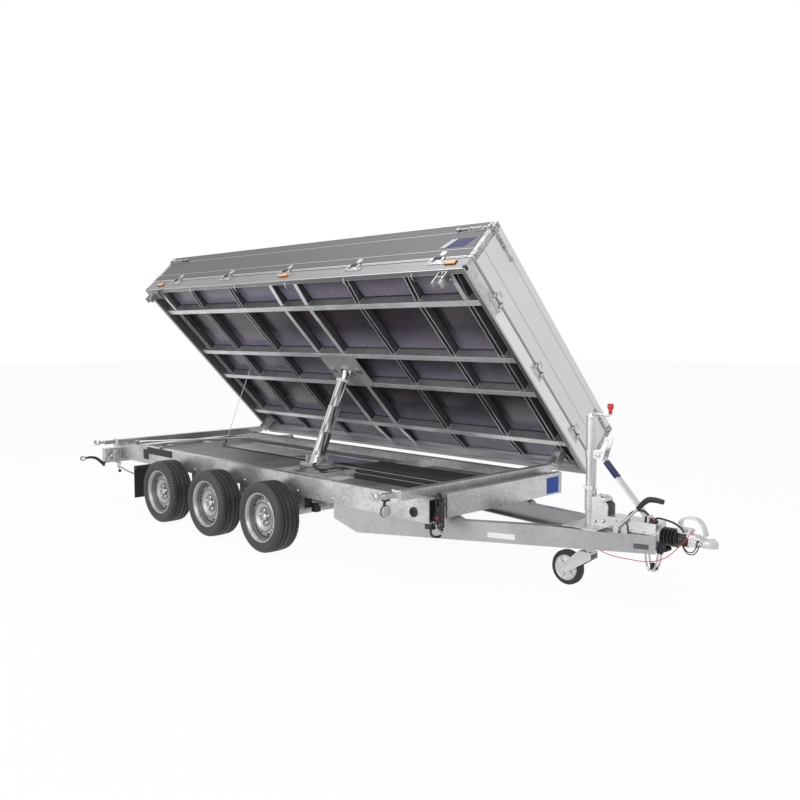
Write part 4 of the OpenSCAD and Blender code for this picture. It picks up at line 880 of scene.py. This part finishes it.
# Coupling: ribbed rubber bellows over the drawtube, a cast head with an arched lifting handle and
# riveted socket lip, the parked plug in its holder and a stop bracket below.
ribs = np.array([(p, r) for k in range(5) for p, r in ((k * 21 + 1, 40), (k * 21 + 5, 49), (k * 21 + 10, 55), (k * 21 + 14, 55), (k * 21 + 18, 47))] + [(108, 38), (118, 42), (168, 41), (182, 34)], float)
bellows = piece("bellows", [turned(np.stack([ribs[:, 1], ribs[:, 0]], -1), (3418, 0, 426), "x", 56)], plain("bellows_rubber", (0.013, 0.013, 0.014), 0.35, bump=0.05), "chassis", smooth=60)
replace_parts(bellows, "coupling_bellows")
t = np.linspace(0, 1, 26)[:, None]
a = np.linspace(0, 2 * np.pi, 36, endpoint=False)[None, :]
half_w = 34 + 20 * np.clip((t - 0.42) / 0.22, 0, 1)
half_w = half_w * np.sqrt(np.clip(1 - np.clip((t - 0.70) / 0.30, 0, 1)**2, 0.01, 1))
top = 466 - 26 * np.clip((t - 0.30) / 0.35, 0, 1) + 12 * np.exp(-((t - 0.74) / 0.10)**2) - 16 * np.clip((t - 0.86) / 0.14, 0, 1)**2
low = 392 + 12 * np.clip((t - 0.35) / 0.2, 0, 1)
power = 0.45
cx, sx = np.cos(a), np.sin(a)
head = np.stack([3582 + 171 * t + 0 * a, half_w * np.sign(cx) * np.abs(cx)**power, (top + low) / 2 + (top - low) / 2 * np.sign(sx) * np.abs(sx)**power], -1)
cast = zinc("head_cast", light=0.60, cloud=0.10, spangle=200, rough=0.36, metallic=0.75, patch=14)
arch = eased([(3530, 0, 492), (3528, 0, 520), (3545, 0, 545), (3590, 0, 556), (3632, 0, 552), (3660, 0, 528), (3676, 0, 496), (3684, 0, 464)], 26)
strap = np.array([(-6, -21), (6, -21), (6, 21), (-6, 21)], float)
parts = [skin(head), carried(arch, strap)]
parts += [turned([(30, 0), (30, 60)], (3536, 0, 426), "x", 30), block((3520, 3600), (-22, 22), (462, 494)), block((3596, 3640), (-38, 38), (400, 446))]
parts += [hex_bolt((x, -36, z), "y", 8, 8, -1) for x, z in ((3604, 424), (3640, 430), (3664, 424))] + [hex_bolt((x, 36, z), "y", 8, 8, 1) for x, z in ((3604, 424), (3640, 430))]
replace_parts(piece("cast_head", parts, cast, "chassis", bevel=2, smooth=45), "coupling_head")
plug = [turned([(10, -6), (17, 0), (19, 6), (19, 38), (15, 46), (9, 58)], (3350, -44, 510), "x", 20), turned([(14, 0), (20, -3), (20, -16), (12, -22)], (3350, -44, 510), "x", 18), block((3330, 3344), (-56, -32), (490, 534))]
piece("parked_plug", plug, box_black, "chassis", bevel=1, smooth=50)
piece("plug_holder", [block((3354, 3362), (-70, -20), (492, 544)), block((3300, 3362), (-52, -36), (488, 494)), turned([(20, 6), (24, 6), (24, 14), (20, 14)], (3350, -44, 510), "x", 20)], plate_zinc, "chassis", bevel=1)
piece("plug_tag", [block((3384, 3396), (-58, -46), (512, 528))], red_cover, "chassis", bevel=1)
under = [plate([(3374, s * 30, 386), (3450, s * 30, 380), (3462, s * 30, 345), (3440, s * 30, 332), (3388, s * 30, 346)], 4, (0, 1, 0)) for s in (-1, 1)]
under += [block((3384, 3456), (-34, 34), (338, 352)), turned([(14, -18), (20, -14), (20, 14), (14, 18)], (3402, 0, 330), "z", 16)]
piece("stop_bracket", under, box_black, "chassis", bevel=1.5)
u_path = eased([(3321, -22, 320), (3326, -22, 262), (3338, -22, 222), (3366, -22, 214), (3388, -22, 240), (3404, -22, 322)], 20)
piece("u_bracket", [tube(u_path, 6, 10), tube(u_path + (0, 44, 0), 6, 10), block((3340, 3384), (-26, 26), (206, 216))], plated, "chassis")
piece("stop_rubber", [turned([(10, 216), (17, 219), (17, 246), (9, 252)], (3360, 0, 0), "z", 20)], black_rubber, "chassis", smooth=50)


# Prop column: a zinc tube in a wider lower sleeve with a guide rail welded on, a bent crank on top
# with a red bell shaped grip, and the small rubber tyred wheel below in its pressed fork.
dress(plate_zinc, "jockey_column", "jockey_leg", "jockey_fork")
column = [turned([(33, 0), (37, 3), (37, 140), (33, 144)], (2924, 0, 500), "z", 36), tube(np.linspace((2956, -10, 470), (2956, -10, 1090), 3), 8, 10), tube(np.linspace((2940, -31, 644), (2940, -31, 1080), 3), 6, 8),
          turned([(32, 1080), (35, 1082), (35, 1094), (30, 1100)], (2924, 0, 0), "z", 36), block((2892, 2960), (-40, -30), (640, 664)), turned([(36, 838), (38, 840), (38, 884), (36, 886)], (2924, 0, 0), "z", 36)]
piece("column_sleeve", column, plate_zinc, "chassis", bevel=1)
crank = eased([(2924, 0, 1098), (2926, 0, 1108), (2944, 0, 1112), (3000, 0, 1108), (3036, 0, 1104), (3050, 0, 1112), (3053, 0, 1130)], 24)
grip_cut = [(9, 1116), (12, 1122), (11, 1140), (17, 1150), (19, 1158), (19, 1174), (15, 1180), (1, 1181)]
crank_rod = piece("crank_rod", [tube(crank, 6, 12), turned([(20, 1096), (23, 1098), (23, 1108), (14, 1114), (1, 1114)], (2924, 0, 0), "z", 6)], plated, "chassis", bevel=0.6)
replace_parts(crank_rod, "crank_handle")
piece("crank_grip", [turned(grip_cut, (3053, 0, 0), "z", 24)], red_cover, "chassis", smooth=50)
dress(black_rubber, "jockey_wheel")
angles = np.radians(np.arange(5) * 72 + 10)
hub = [turned([(70, s * 20), (74, s * 24), (80, s * 27), (84, s * 24), (80, s * 18)], (2764, 0, 112.5), "y", 48) for s in (-1, 1)]
hub += [turned([(10, s * 24), (24, s * 24), (26, s * 28), (18, s * 32), (1, s * 32)], (2764, 0, 112.5), "y", 24) for s in (-1, 1)]
for s in (-1, 1):
    for k in angles:
        c, q = math.cos(k), math.sin(k)
        hub.append(plate([(2764 + c * 18 - q * 16, s * 25, 112.5 + q * 18 + c * 16), (2764 + c * 18 + q * 16, s * 25, 112.5 + q * 18 - c * 16),
                          (2764 + c * 73 + q * 30, s * 21, 112.5 + q * 73 - c * 30), (2764 + c * 73 - q * 30, s * 21, 112.5 + q * 73 + c * 30)], 3 * s, (0, 1, 0)))
piece("jockey_hub", hub, bright_steel("hub_steel", 0.58, 0.35, metallic=0.6), "jockey_wheel", bevel=0.8)


# Spring strap: a flat bar and damper ahead of the front wheel, bolted under the rail.
strap_bar = [block((735, 1140), (-606, -594), (368, 388)), tube(np.linspace((760, -612, 352), (980, -612, 352), 3), 16, 16), tube(np.linspace((980, -612, 352), (1130, -612, 352), 3), 9, 12)]
strap_bar += [block((1110, 1140), (-640, -594), (340, 410)), block((735, 765), (-640, -594), (340, 410)), hex_bolt((1125, -640, 352), "y", 9, 8, -1), hex_bolt((750, -640, 352), "y", 9, 8, -1)]
piece("spring_strap", strap_bar + [(p * (1, -1, 1), f) for p, f in strap_bar], zinc("strap_zinc", light=0.42, cloud=0.1), "chassis", bevel=1)
piece("strap_blocks", [block((960, 1010), sorted([s * 650, s * 600]), (300, 362)) for s in (-1, 1)] + [block((930, 956), sorted([s * 690, s * 640]), (330, 408)) for s in (-1, 1)], black_rubber, "chassis", bevel=3)
